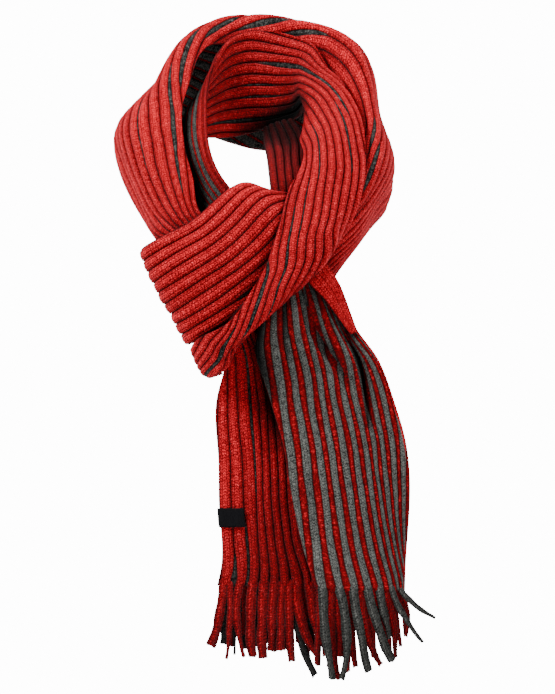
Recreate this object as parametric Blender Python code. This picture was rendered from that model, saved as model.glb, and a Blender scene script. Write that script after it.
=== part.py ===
"""A two-tone rib-knit scarf as it is worn: wound round the neck, knotted in front, both tails hanging.

The frame is metres, +Z up, front towards -Y and the scarf's own left hand towards +X in a front view.
The origin is where the back of the wearer's neck meets the cloth. All tables below are in millimetres.

The cloth is one wall, laid along four lanes. A lane is a net of sections, each across all of the
ribs, and it is cut into the stretches that show, with a seam gap between them.
"""

import math
import random
from collections import namedtuple

import bmesh
import bpy
import numpy as np

MM = 0.001

# The knit.
WALL = 2.4  # plain wall between the ribs
RIB = 2.0  # how far a rib stands out of it
SEAM = 0.3  # gap between pieces that meet
RIB_SHOULDERS = (0.27, 0.73)  # where a rib's top starts and ends, as shares of its pitch
INNER_POINTS = 12  # points across the plain inside of a wall

# The fringe: each tail's hem is cut into strands.
STRIP_HEIGHT = 5.0
STRIP_THICKNESS = 3.6
STRAND_FILL = 0.74  # share of its pitch that a strand takes
STRAND_STEPS = (0.36, 0.7, 1.0)  # where a strand bends, as shares of its length

# The label folded round the left tail's edge.
LABEL_WIDTH = 24.0
LABEL_HEIGHT = 19.0
LABEL_TOP = -408.0
LABEL_THICKNESS = 0.9
LABEL_SLACK = 0.8  # how far its fold stands off the cloth's edge

RED = (0.58, 0.025, 0.028)
CHARCOAL = (0.075, 0.085, 0.085)
BLACK = (0.012, 0.012, 0.013)

# A flat section: its two edges, and how far its middle stands out from the line between them.
Span = namedtuple("Span", "one other crown")
# A section that rounds away: four points from the one edge to the other.
Roll = namedtuple("Roll", "one near far other")

# From the left tail's hem up over the left shoulder, round the back and down the right shoulder, then
# behind the tails, round their left edge and across the front. In a front view the one edge is the
# tail's right edge, the edge next to the neck and the upper edge of the knot.
OUTER_LANE = {
    "hem": Span((72, -155, -485), (-52, -161, -485), 3),
    "tail foot": Span((75, -154, -466), (-48, -160, -466), 3),
    "tail low": Span((76, -152, -408), (-50, -158, -408), 3),
    "tail middle": Span((70, -150, -356), (-51, -156, -356), 3),
    "tail high": Span((52, -146, -296), (-52, -152, -296), 3),
    "under the knot": Span((38, -146, -262), (-44, -152, -262), 3),
    "in the knot": Roll((15, -152, -200), (-8, -156, -203), (-38, -156, -206), (-63, -148, -208)),
    "into the knot": Roll((-25, -151, -150), (-48, -156, -158), (-74, -152, -168), (-90, -140, -174)),
    "knot's top edge": Roll((-69, -144, -114), (-86, -150, -124), (-110, -142, -141), (-100, -130, -144)),
    "breast": Roll((-77, -134, -85), (-98, -142, -97), (-121.5, -118, -119), (-118, -82, -122)),
    "collarbone": Roll((-83, -122, -61), (-112, -130, -72), (-136.5, -96, -88), (-135, -46, -98)),
    "left front": Roll((-87, -110, -42), (-118, -118, -48), (-149, -78, -58), (-142, -22, -74)),
    "left side": Roll((-89, -94, -22), (-121, -103, -26), (-152.5, -60, -31), (-136, -2, -54)),
    "left shoulder": Roll((-87, -72, 1), (-113, -80, 1), (-137, -38, -8), (-122, 18, -41)),
    "left rise": Roll((-80, -52, 23), (-101, -56, 26), (-113.5, -16, 13.5), (-108, 32, -32)),
    "left turn": Roll((-74, -30, 42), (-88, -32, 49), (-97.5, 6, 40), (-98, 44, -27)),
    "left crest": Roll((-62, -8, 56), (-69, -4, 69.5), (-76, 32, 56), (-76, 54, -29)),
    "back left": Roll((-44, 10, 57), (-46, 20, 82), (-47, 52, 50), (-46, 54, -39)),
    "back": Roll((-20, 20.5, 54), (-20, 31.5, 85), (-20, 61, 45), (-20, 52, -46)),
    "back middle": Roll((6, 23.4, 46), (5, 32, 84), (5, 65, 40), (5, 52, -50)),
    "back right": Roll((29, 25, 33), (31, 30, 79.5), (33, 63, 38), (30, 51, -52)),
    "right crest": Roll((49, 11, 20), (62, 17, 71), (68, 50, 39), (58, 50, -50)),
    "right turn": Roll((65, -12, 5), (86, -4, 53.5), (95, 34, 32), (84, 46, -56)),
    "right shoulder": Roll((76, -38, -14), (99, -28, 20), (104, 12, 8), (98, 30, -63)),
    "right side": Roll((82, -64, -36), (102, -62, -13), (108.5, -20, -24), (105, 8, -75)),
    "right front": Roll((82, -88, -62), (105, -92, -40), (120.5, -52, -52), (113, -12, -92)),
    "right breast": Roll((74, -112, -88), (100, -118, -72), (119, -80, -80), (113, -38, -110)),
    "right low": Roll((62, -128, -108), (88, -134, -102), (102, -104, -106), (99.5, -66, -126)),
    "behind the roll": Roll((50, -134, -122), (72, -142, -122), (86, -127, -132), (85, -98, -146)),
    "right corner": Roll((38, -130, -130), (56, -140, -140), (67, -132, -154), (69, -112, -168)),
    "behind the tails": Roll((22, -122, -136), (38, -128, -157), (50, -125, -174), (56, -113, -189)),
    "knot back right": Roll((0, -111, -134), (13, -112, -162), (26, -112, -190), (36, -110, -216)),
    "knot back": Roll((-45, -102, -138), (-34, -102, -170), (-20, -105, -206), (-8, -110, -238)),
    "knot back left": Roll((-96, -107, -152), (-84, -108, -184), (-66, -112, -214), (-50, -122, -240)),
    "behind the turn": Roll((-122, -122, -153), (-107, -126, -183), (-91.5, -131, -214), (-75.5, -139, -242)),
    "knot turn": Roll((-128, -145, -150), (-115.5, -152, -182), (-98, -156, -214), (-81, -157, -244)),
    "knot left": Roll((-103, -161, -135), (-85, -178, -164), (-67.5, -182, -195), (-50, -180, -226)),
    "knot front": Roll((-80, -167, -123), (-62, -183, -149), (-42, -186, -177), (-22, -181, -206)),
    "knot middle": Roll((-49, -167, -96), (-29, -183, -121), (-6, -185, -147), (18, -178, -173)),
    "knot right": Roll((-22, -152, -84.5), (-4, -177, -99), (16, -181, -125), (36, -176, -149)),
    "under the front roll": Roll((10, -152, -110), (17, -154, -95), (24, -167, -104), (33, -173, -122)),
}

# From behind the knot up the left of the neck, round its back and down over the right shoulder, across
# the front and round the knot's lower corner. The one edge is the rim that stands away from the neck.
NECK_LANE = {
    "behind the knot": Span((-8, -140, -140), (-50, -130, -168), -2),
    "knot's inner edge": Span((-28, -142, -104), (-66, -122, -136), -3),
    "throat": Span((-46, -136, -81), (-84, -104, -110), -3),
    "neck front": Span((-56.5, -127, -62), (-94, -90, -90), -3),
    "neck left": Span((-62.5, -114, -38), (-102, -76, -66), -5),
    "neck left high": Span((-64, -88, -10), (-100, -56, -50), -6),
    "neck left turn": Span((-62, -56, 18), (-88, -36, -36), -5),
    "nape left corner": Span((-54, -22, 44), (-68, -20, -36), -2),
    "nape left": Span((-42, -2, 61), (-50, -4, -36), 2),
    "nape left middle": Span((-25, 14, 69), (-32, 3, -34), 5),
    "nape": Span((0, 21, 70), (-4, 4, -27), 6),
    "nape right": Span((23, 18, 65), (14, -2, -21), 8),
    "nape right corner": Span((42, 8, 57), (24, -11, -16), 10),
    "roll top": Span((53, -8, 40), (27, -28, -8), 12),
    "roll shoulder": Span((69, -30, 20), (29, -52, -18), 14),
    "roll side": Span((83, -58, -2), (32, -82, -40), 14),
    "roll front": Span((91, -84, -23), (36, -112, -55), 12),
    "roll breast": Span((94, -108, -47), (30, -142, -73), 10),
    "roll meets the knot": Span((94, -126, -70), (19, -168, -91), 8),
    "on the knot": Span((90, -146, -96), (13, -184, -112), 7),
    "on the knot lower": Roll((74, -163, -131), (66, -178, -127), (37, -190, -130), (7, -192, -134)),
    "on the knot middle": Roll((38, -183, -171), (55, -185, -160), (27, -196, -163), (-3, -197, -165)),
    "lower edge": Roll((-4, -193, -188), (14, -192, -202), (10, -202, -197), (-12, -201, -182)),
    "fan": Roll((-33, -192, -211), (-13, -192, -227), (-14, -201, -224), (-31, -201, -212)),
    "fan left": Roll((-50, -178, -236), (-39, -178, -253), (-40, -188, -253), (-54, -191, -231)),
    "lower corner": Roll((-62, -167, -249), (-46, -166, -266), (-46, -175, -267), (-72, -178, -240)),
    "corner turn": Roll((-66, -161, -253), (-54.5, -161, -269), (-58, -161, -274), (-77.5, -161, -249)),
    "behind the corner": Roll((-63, -146, -256), (-51, -146, -270), (-48, -138, -272), (-64, -136, -251)),
}

# From the nape down inside the neck's right, behind the knot, and down the right tail to its hem.
# The one edge is the left one in a front view.
RIGHT_LANE = {
    "below the nape": Span((-6, 2.5, -28.6), (24, -13, -19), 2),
    "neck side high": Span((-6, -30, -42), (36, -44, -38), 2),
    "neck side": Span((-3, -78, -56), (38, -84, -56), 3),
    "neck side low": Span((-1, -112, -72), (38, -112, -72), 3),
    "knot's inner edge": Span((1, -135, -90), (40, -132, -90), 2),
    "behind the knot": Span((3, -145, -118), (44, -142, -114), 2),
    "in the knot": Span((1, -159, -158), (49, -155, -150), 2),
    "tail gathers": Span((-8, -164, -203), (58, -159, -172), 2),
    "tail leaves the knot": Span((-12, -166, -232), (68, -159, -187), 3),
    "tail opens": Span((-14, -167, -252), (82, -160, -222), 4),
    "tail high": Span((-4, -168, -285), (106, -162, -257), 4),
    "tail upper": Span((5, -170, -314), (123, -163, -300), 4),
    "tail middle": Span((13, -172, -342), (133.5, -164, -335), 4),
    "tail widest": Span((20, -174, -382), (139, -164, -382), 4),
    "tail low": Span((28, -175, -425), (137, -164, -432), 4),
    "tail foot": Span((36, -176, -457), (135, -164, -460), 4),
    "hem": Span((48, -176, -490), (134, -165, -490), 3),
}

# The right tail's edge, turned over to the front just under the knot. The one edge is the inner one.
TURNOVER_LANE = {
    "under the roll": Span((37, -168, -180), (55, -165, -163), 1),
    "top": Span((43, -169.5, -187), (62, -166, -173), 1),
    "upper": Span((53, -168.4, -197), (69, -164.4, -185), 1),
    "middle": Span((63, -167, -210), (76, -164, -203), 1),
    "lower": Span((72, -166.2, -222), (82, -165, -219), 1),
    "tip": Span((81, -166, -234), (87, -166, -232), 0.5),
}

# The largest folds: troughs that sink away from a lane's outward side. Each runs from one section to
# another, from one share of the way across to another, and fades out towards both its ends.
Fold = namedtuple("Fold", "lane start end share_at_start share_at_end depth width")
FOLDS = (
    Fold("right", "tail gathers", "tail upper", 0.50, 0.66, 6.0, 0.05),
    Fold("right", "tail leaves the knot", "tail middle", 0.90, 0.76, 5.0, 0.05),
    Fold("outer", "tail middle", "in the knot", 0.62, 0.66, 4.0, 0.05),
    Fold("neck", "nape right", "roll side", 1.0, 1.0, 9.0, 0.22),
)

Lane = namedtuple("Lane", "rows outward")
LANES = {
    "outer": Lane(OUTER_LANE, -1),
    "neck": Lane(NECK_LANE, 1),
    "right": Lane(RIGHT_LANE, -1),
    "turnover": Lane(TURNOVER_LANE, -1),
}

# A stretch: where on its lane it starts and ends, how many sections it has, its ribs, the side of
# the lane that its ribs stand out of, and whether they get two points each or three.
Stretch = namedtuple("Stretch", "lane start end sections ribs side fine colour")
STRETCHES = {
    "tail_left": Stretch("outer", "hem", "in the knot", 12, 13, 1, True, RED),
    "left_outer": Stretch("outer", "in the knot", "left crest", 15, 13, 1, True, RED),
    "back_outer": Stretch("outer", "left crest", "right crest", 9, 13, 1, True, RED),
    "right_outer": Stretch("outer", "right crest", "behind the tails", 12, 13, 1, True, RED),
    "knot_back": Stretch("outer", "behind the tails", "behind the turn", 8, 9, -1, True, RED),
    "knot_front": Stretch("outer", "behind the turn", "under the front roll", 12, 9, -1, True, RED),
    "neck_left": Stretch("neck", "behind the knot", "nape left corner", 10, 9, -1, True, CHARCOAL),
    "neck_back": Stretch("neck", "nape left corner", "roll top", 9, 9, 1, True, RED),
    "front_roll": Stretch("neck", "roll top", "behind the corner", 20, 9, 1, True, RED),
    "neck_right": Stretch("right", "below the nape", "in the knot", 9, 5, 1, True, RED),
    "tail_right": Stretch("right", "in the knot", "hem", 16, 12, 1, True, CHARCOAL),
    "tail_turnover": Stretch("turnover", "under the roll", "tip", 7, 2, 1, False, RED),
}

# A fringe: the lane whose hem carries it, its strands, their lengths from one edge to the other, how
# far the tips lean sideways, the strays' lean added at the last edge, and the seed of their sway.
Fringe = namedtuple("Fringe", "lane at strands lengths lean strays seed colour")
FRINGES = {
    "fringe_left": Fringe("outer", 0.0, 25, (68, 62), -7, (), 7, RED),
    "fringe_right": Fringe("right", 1.0, 25, (84, 70), -10, (14, 30, 46), 11, CHARCOAL),
}


def clear_scene():
    for obj in list(bpy.data.objects):
        bpy.data.objects.remove(obj, do_unlink=True)


def material(name, colour):
    made = bpy.data.materials.new(name)
    made.use_nodes = True
    shader = made.node_tree.nodes["Principled BSDF"]
    shader.inputs["Base Color"].default_value = (*colour, 1)
    shader.inputs["Roughness"].default_value = 0.9
    made.diffuse_color = (*colour, 1)
    return made


def add_object(name, points, faces, colour, parent):
    """Makes a closed mesh of millimetre points into a named object with its faces pointing out."""
    mesh = bpy.data.meshes.new(name)
    shape = bmesh.new()
    corners = [shape.verts.new([value * MM for value in point]) for point in points]
    for face in faces:
        shape.faces.new([corners[index] for index in face])
    bmesh.ops.recalc_face_normals(shape, faces=shape.faces)
    shape.to_mesh(mesh)
    shape.free()
    obj = bpy.data.objects.new(name, mesh)
    obj.data.materials.append(material(name, colour))
    obj.parent = parent
    bpy.context.collection.objects.link(obj)
    return obj


def curve_through(knots, values, at):
    """Reads a natural cubic curve through the values at their knots, at each place asked for."""
    steps = np.diff(knots)
    slopes = np.diff(values, axis=0) / steps[:, None]
    system = np.eye(len(knots))
    bend = np.zeros_like(values)
    for i in range(1, len(knots) - 1):
        system[i, i - 1 : i + 2] = steps[i - 1], 2 * (steps[i - 1] + steps[i]), steps[i]
        bend[i] = 6 * (slopes[i] - slopes[i - 1])
    bend = np.linalg.solve(system, bend)
    k = np.clip(np.searchsorted(knots, at) - 1, 0, len(knots) - 2)
    step = steps[k][:, None]
    right = ((at - knots[k]) / steps[k])[:, None]
    left = 1 - right
    straight = left * values[k] + right * values[k + 1]
    return straight + ((left**3 - left) * bend[k] + (right**3 - right) * bend[k + 1]) * step**2 / 6


def lengths_along(points):
    return np.concatenate([[0], np.cumsum(np.linalg.norm(np.diff(points, axis=0), axis=1))])


def section_points(lane):
    """The four points of each section of a lane, as an array of rows, points and coordinates."""
    rows = list(lane.rows.values())
    middles = [(np.array(row[0]) + np.array(row[-2 if isinstance(row, Span) else -1])) / 2 for row in rows]
    sections = []
    for i, row in enumerate(rows):
        if isinstance(row, Roll):
            sections.append([np.array(point, float) for point in row])
            continue
        one, other = np.array(row.one, float), np.array(row.other, float)
        onward = middles[min(i + 1, len(rows) - 1)] - middles[max(i - 1, 0)]
        out = np.cross(other - one, onward)
        out *= lane.outward / np.linalg.norm(out)
        # Points a third of the way across stand out 8/9 of what a parabola does in its middle.
        sections.append([one + (other - one) * t + out * row.crown * 4 * t * (1 - t) for t in (0, 1 / 3, 2 / 3, 1)])
    return np.array(sections)


def lane_lengths(sections):
    """How far along the lane each section lies, taken as the mean over its points."""
    return np.mean([lengths_along(sections[:, k]) for k in range(sections.shape[1])], axis=0)


def rows_at(sections, knots, places, shares):
    """Points of a lane's middle surface at each place along it and each share of the way across."""
    flat = sections.reshape(len(sections), -1)
    points = []
    for row in curve_through(knots, flat, np.asarray(places)).reshape(len(places), -1, 3):
        reach = lengths_along(row)
        dense = curve_through(reach, row, np.linspace(0, reach[-1], 80))
        run = lengths_along(dense)
        points.append([np.interp(np.asarray(shares) * run[-1], run, dense[:, axis]) for axis in range(3)])
    return np.array(points).transpose(0, 2, 1)


def fold_depth(lane, knots, places, shares):
    """How far the folds sink the lane's surface at each place along and share across."""
    depth = np.zeros((len(places), len(shares)))
    names = list(lane.rows)
    for fold in FOLDS:
        if LANES[fold.lane] is not lane:
            continue
        start, end = knots[names.index(fold.start)], knots[names.index(fold.end)]
        along = np.clip((np.asarray(places) - start) / (end - start), 0, 1)
        centre = fold.share_at_start + (fold.share_at_end - fold.share_at_start) * along
        across = np.exp(-(((np.asarray(shares)[None, :] - centre[:, None]) / fold.width) ** 2))
        depth += fold.depth * np.sin(math.pi * along)[:, None] * across
    return depth


def outward(lane, points, along):
    out = np.cross(np.gradient(points, axis=1), along) * lane.outward
    return out / np.linalg.norm(out, axis=2, keepdims=True)


def surface(lane, places, shares):
    """Points and outward normals of a lane's middle surface, with its folds."""
    sections = section_points(lane)
    knots = lane_lengths(sections)
    step = 1.0
    rows = []
    for shift in (0, step, -step):
        centre = np.clip(np.asarray(places) + shift, 0, knots[-1])
        near = [np.clip(centre + side, 0, knots[-1]) for side in (0, step, -step)]
        points, ahead, behind = (rows_at(sections, knots, place, shares) for place in near)
        depth = fold_depth(lane, knots, centre, shares)
        rows.append(points - outward(lane, points, ahead - behind) * depth[:, :, None])
    points, ahead, behind = rows
    return points, outward(lane, points, ahead - behind)


def rib_rows(ribs, fine):
    """Shares across the wall and heights above it, for the outer points of a ribbed face."""
    shares, heights = [], []
    tops = RIB_SHOULDERS if fine else (0.5,)
    for i in range(ribs):
        shares += [i / ribs] + [(i + top) / ribs for top in tops]
        heights += [0.0] + [RIB] * len(tops)
    return np.array(shares + [1.0]), np.array(heights + [0.0])


def zip_rows(front, back, front_shares, back_shares):
    """Triangles that close the end between a row of outer points and a row of inner ones."""
    faces = []
    i = j = 0
    while i < len(front) - 1 or j < len(back) - 1:
        if j == len(back) - 1 or (i < len(front) - 1 and front_shares[i + 1] <= back_shares[j + 1]):
            faces.append((front[i], front[i + 1], back[j]))
            i += 1
        else:
            faces.append((front[i], back[j + 1], back[j]))
            j += 1
    return faces


def wall(outer, inner, outer_shares, inner_shares):
    """Points and faces of a closed wall between a grid of outer points and a coarser inner one."""
    rows, across, inside = len(outer), outer.shape[1], inner.shape[1]
    points = np.concatenate([outer.reshape(-1, 3), inner.reshape(-1, 3)])
    front = np.arange(rows * across).reshape(rows, across)
    back = np.arange(rows * inside).reshape(rows, inside) + rows * across
    faces = []
    for i in range(rows - 1):
        for grid in (front, back):
            for j in range(grid.shape[1] - 1):
                faces.append((grid[i, j], grid[i, j + 1], grid[i + 1, j + 1], grid[i + 1, j]))
        for edge in (0, -1):
            faces.append((front[i, edge], front[i + 1, edge], back[i + 1, edge], back[i, edge]))
    for end in (0, -1):
        faces += zip_rows(front[end], back[end], outer_shares, inner_shares)
    return points, faces


def add_stretch(name, stretch, parent):
    """One stretch of the scarf: a wall with its ribs raised on one face."""
    lane = LANES[stretch.lane]
    names = list(lane.rows)
    knots = lane_lengths(section_points(lane))
    start = knots[names.index(stretch.start)] + SEAM / 2
    end = knots[names.index(stretch.end)] - SEAM / 2
    places = np.linspace(start, end, stretch.sections)
    shares, heights = rib_rows(stretch.ribs, stretch.fine)
    inner_shares = np.linspace(0, 1, INNER_POINTS)
    middle, out = surface(lane, places, shares)
    plain, plain_out = surface(lane, places, inner_shares)
    outer = middle + out * stretch.side * (WALL / 2 + heights[None, :, None])
    inner = plain - plain_out * stretch.side * WALL / 2
    points, faces = wall(outer, inner, shares, inner_shares)
    return add_object(name, points, faces, stretch.colour, parent)


def add_fringe(name, fringe, parent):
    """Strands cut from a hem, fused at their roots into a narrow strip just below it."""
    lane = LANES[fringe.lane]
    knots = lane_lengths(section_points(lane))
    hem = knots[-1] if fringe.at else 0.0
    cut = (1 - STRAND_FILL) / 2
    shares = [(i + side) / fringe.strands for i in range(fringe.strands) for side in (cut, 1 - cut)]
    row, out = surface(lane, [hem, hem + (-1 if fringe.at else 1)], shares)
    root, out = row[0], out[0]
    down = np.array([0, 0, -1.0])
    points, faces = [], []
    for corner, normal in zip(root, out):
        for drop in (SEAM, STRIP_HEIGHT):
            for side in (0.5, -0.5):
                points.append(corner + down * drop + normal * side * STRIP_THICKNESS)
    chance = random.Random(fringe.seed)
    last = len(root) - 1
    for j in range(last):
        a, b = 4 * j, 4 * (j + 1)
        faces += [(a, a + 1, b + 1, b), (a, b, b + 2, a + 2), (a + 1, a + 3, b + 3, b + 1)]
        if j % 2:
            faces.append((a + 2, b + 2, b + 3, a + 3))
    for a in (0, 4 * last):
        faces.append((a, a + 1, a + 3, a + 2))
    for i in range(fringe.strands):
        a, b = 8 * i, 8 * i + 4
        ring = [a + 2, a + 3, b + 3, b + 2]
        share = i / (fringe.strands - 1)
        length = np.interp(share, (0, 1), fringe.lengths) * chance.uniform(0.9, 1.04)
        lean = fringe.lean + chance.uniform(-2, 2)
        stray = i - (fringe.strands - len(fringe.strays))
        if stray >= 0:
            lean += fringe.strays[stray]
        apart = (4.5 if i % 2 else -4.5) + chance.uniform(-0.8, 0.8)
        top = [points[index] for index in ring]
        for step in STRAND_STEPS:
            shift = np.array([lean * step**2, apart * step, -length * step])
            base = len(points)
            points += [corner + shift for corner in top]
            faces += [(ring[k], ring[(k + 1) % 4], base + (k + 1) % 4, base + k) for k in range(4)]
            ring = [base, base + 1, base + 2, base + 3]
        faces.append(tuple(ring))
    return add_object(name, points, faces, fringe.colour, parent)


def add_label(parent):
    """A plain label folded round the left tail's left edge, just clear of its ribs."""
    lane = LANES["outer"]
    sections = section_points(lane)
    knots = lane_lengths(sections)
    edge_heights = [section[-1][2] for section in sections[:5]]
    width = np.linalg.norm(sections[2][-1] - sections[2][0])
    places = [np.interp(LABEL_TOP - drop, edge_heights, knots[:5]) for drop in (0, LABEL_HEIGHT)]
    shares = 1 - np.linspace(LABEL_WIDTH, 0, 4) / width
    row, out = surface(lane, places, shares)
    clear = SEAM + LABEL_THICKNESS / 2
    away = row[:, -1] - row[:, -2]
    turn = row[:, -1] + away / np.linalg.norm(away, axis=1)[:, None] * (clear + LABEL_SLACK)
    front = [row[:, k] + out[:, k] * (WALL / 2 + RIB + clear) for k in range(4)]
    back = [row[:, k] - out[:, k] * (WALL / 2 + clear) for k in reversed(range(4))]
    turned = [turn + out[:, -1] * (WALL / 2 + RIB), turn - out[:, -1] * WALL / 2]
    loop = np.array(front + turned + back).transpose(1, 0, 2)
    onward = np.gradient(loop, axis=1)
    aside = np.cross(onward, (loop[0] - loop[1])[None, :, :])
    aside /= np.linalg.norm(aside, axis=2, keepdims=True)
    shares = np.linspace(0, 1, loop.shape[1])
    points, faces = wall(loop + aside * LABEL_THICKNESS / 2, loop - aside * LABEL_THICKNESS / 2, shares, shares)
    return add_object("label", points, faces, BLACK, parent)


def main():
    clear_scene()
    scarf = bpy.data.objects.new("scarf", None)
    bpy.context.collection.objects.link(scarf)
    for name, stretch in STRETCHES.items():
        add_stretch(name, stretch, scarf)
    for name, fringe in FRINGES.items():
        add_fringe(name, fringe, scarf)
    add_label(scarf)


main()
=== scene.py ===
"""A two-tone rib-knit scarf as it is worn: the knit, the fringes, the label and a plain studio.

Run as a script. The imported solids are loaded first, and each sheet of knit made here lies on the
form of the solids that it stands for. Tables are in millimetres, in the solids' frame: +Z up,
front towards -Y, origin where the back of the neck meets the cloth.
"""

import math
import random
from collections import namedtuple

import bmesh
import bpy
import numpy as np
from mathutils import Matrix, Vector
from mathutils.bvhtree import BVHTree


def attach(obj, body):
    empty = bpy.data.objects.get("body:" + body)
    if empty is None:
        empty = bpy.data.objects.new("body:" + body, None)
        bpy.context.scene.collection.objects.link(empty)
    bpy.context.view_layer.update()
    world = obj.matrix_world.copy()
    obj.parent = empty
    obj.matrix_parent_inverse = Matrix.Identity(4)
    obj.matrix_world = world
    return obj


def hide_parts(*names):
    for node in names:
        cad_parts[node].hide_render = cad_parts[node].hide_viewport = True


bl_info = {
    "name": "Rib-knit scarf",
    "version": (1, 0, 0),
    "blender": (4, 5, 0),
    "location": "3D View > Sidebar > Scarf",
    "description": "Lays the knit, fringes and label of a worn scarf over its packed solids",
    "category": "Add Mesh",
}

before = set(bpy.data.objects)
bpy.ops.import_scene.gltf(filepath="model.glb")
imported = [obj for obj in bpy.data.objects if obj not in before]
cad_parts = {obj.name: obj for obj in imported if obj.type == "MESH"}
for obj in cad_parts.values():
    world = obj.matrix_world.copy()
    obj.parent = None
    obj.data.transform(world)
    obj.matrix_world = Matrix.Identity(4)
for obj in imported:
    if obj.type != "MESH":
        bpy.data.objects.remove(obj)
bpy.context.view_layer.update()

MM = 0.001

# A flat section: its two edges, and how far its middle stands out from the line between them.
Span = namedtuple("Span", "one other crown")
# A section that rounds away: four points from the one edge to the other.
Roll = namedtuple("Roll", "one near far other")

# From the left tail's hem up over the left shoulder, round the back and down the right shoulder, then
# behind the tails, round their left edge and across the front. In a front view the one edge is the
# tail's right edge, the edge next to the neck and the upper edge of the knot.
OUTER_LANE = {
    "hem": Span((72, -155, -485), (-52, -161, -485), 3),
    "tail foot": Span((75, -154, -466), (-48, -160, -466), 3),
    "tail low": Span((76, -152, -408), (-50, -158, -408), 3),
    "tail middle": Span((70, -150, -356), (-51, -156, -356), 3),
    "tail high": Span((52, -146, -296), (-52, -152, -296), 3),
    "under the knot": Span((38, -146, -262), (-44, -152, -262), 3),
    "in the knot": Roll((15, -152, -200), (-8, -156, -203), (-38, -156, -206), (-63, -148, -208)),
    "into the knot": Roll((-25, -151, -150), (-48, -156, -158), (-74, -152, -168), (-90, -140, -174)),
    "knot's top edge": Roll((-69, -144, -114), (-86, -150, -124), (-110, -142, -141), (-100, -130, -144)),
    "breast": Roll((-77, -134, -85), (-98, -142, -97), (-121.5, -118, -119), (-118, -82, -122)),
    "collarbone": Roll((-83, -122, -61), (-112, -130, -72), (-136.5, -96, -88), (-135, -46, -98)),
    "left front": Roll((-87, -110, -42), (-118, -118, -48), (-149, -78, -58), (-142, -22, -74)),
    "left side": Roll((-89, -94, -22), (-121, -103, -26), (-152.5, -60, -31), (-136, -2, -54)),
    "left shoulder": Roll((-87, -72, 1), (-113, -80, 1), (-137, -38, -8), (-122, 18, -41)),
    "left rise": Roll((-80, -52, 23), (-101, -56, 26), (-113.5, -16, 13.5), (-108, 32, -32)),
    "left turn": Roll((-74, -30, 42), (-88, -32, 49), (-97.5, 6, 40), (-98, 44, -27)),
    "left crest": Roll((-62, -8, 56), (-69, -4, 69.5), (-76, 32, 56), (-76, 54, -29)),
    "back left": Roll((-44, 10, 57), (-46, 20, 82), (-47, 52, 50), (-46, 54, -39)),
    "back": Roll((-20, 20.5, 54), (-20, 31.5, 85), (-20, 61, 45), (-20, 52, -46)),
    "back middle": Roll((6, 23.4, 46), (5, 32, 84), (5, 65, 40), (5, 52, -50)),
    "back right": Roll((29, 25, 33), (31, 30, 79.5), (33, 63, 38), (30, 51, -52)),
    "right crest": Roll((49, 11, 20), (62, 17, 71), (68, 50, 39), (58, 50, -50)),
    "right turn": Roll((65, -12, 5), (86, -4, 53.5), (95, 34, 32), (84, 46, -56)),
    "right shoulder": Roll((76, -38, -14), (99, -28, 20), (104, 12, 8), (98, 30, -63)),
    "right side": Roll((82, -64, -36), (102, -62, -13), (108.5, -20, -24), (105, 8, -75)),
    "right front": Roll((82, -88, -62), (105, -92, -40), (120.5, -52, -52), (113, -12, -92)),
    "right breast": Roll((74, -112, -88), (100, -118, -72), (119, -80, -80), (113, -38, -110)),
    "right low": Roll((62, -128, -108), (88, -134, -102), (102, -104, -106), (99.5, -66, -126)),
    "behind the roll": Roll((50, -134, -122), (72, -142, -122), (86, -127, -132), (85, -98, -146)),
    "right corner": Roll((38, -130, -130), (56, -140, -140), (67, -132, -154), (69, -112, -168)),
    "behind the tails": Roll((22, -122, -136), (38, -128, -157), (50, -125, -174), (56, -113, -189)),
    "knot back right": Roll((0, -111, -134), (13, -112, -162), (26, -112, -190), (36, -110, -216)),
    "knot back": Roll((-45, -102, -138), (-34, -102, -170), (-20, -105, -206), (-8, -110, -238)),
    "knot back left": Roll((-96, -107, -152), (-84, -108, -184), (-66, -112, -214), (-50, -122, -240)),
    "behind the turn": Roll((-122, -122, -153), (-107, -126, -183), (-91.5, -131, -214), (-75.5, -139, -242)),
    "knot turn": Roll((-128, -145, -150), (-115.5, -152, -182), (-98, -156, -214), (-81, -157, -244)),
    "knot left": Roll((-103, -161, -135), (-85, -178, -164), (-67.5, -182, -195), (-50, -180, -226)),
    "knot front": Roll((-80, -167, -123), (-62, -183, -149), (-42, -186, -177), (-22, -181, -206)),
    "knot middle": Roll((-49, -167, -96), (-29, -183, -121), (-6, -185, -147), (18, -178, -173)),
    "knot right": Roll((-22, -152, -84.5), (-4, -177, -99), (16, -181, -125), (36, -176, -149)),
    "under the front roll": Roll((10, -152, -110), (17, -154, -95), (24, -167, -104), (33, -173, -122)),
}

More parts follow.
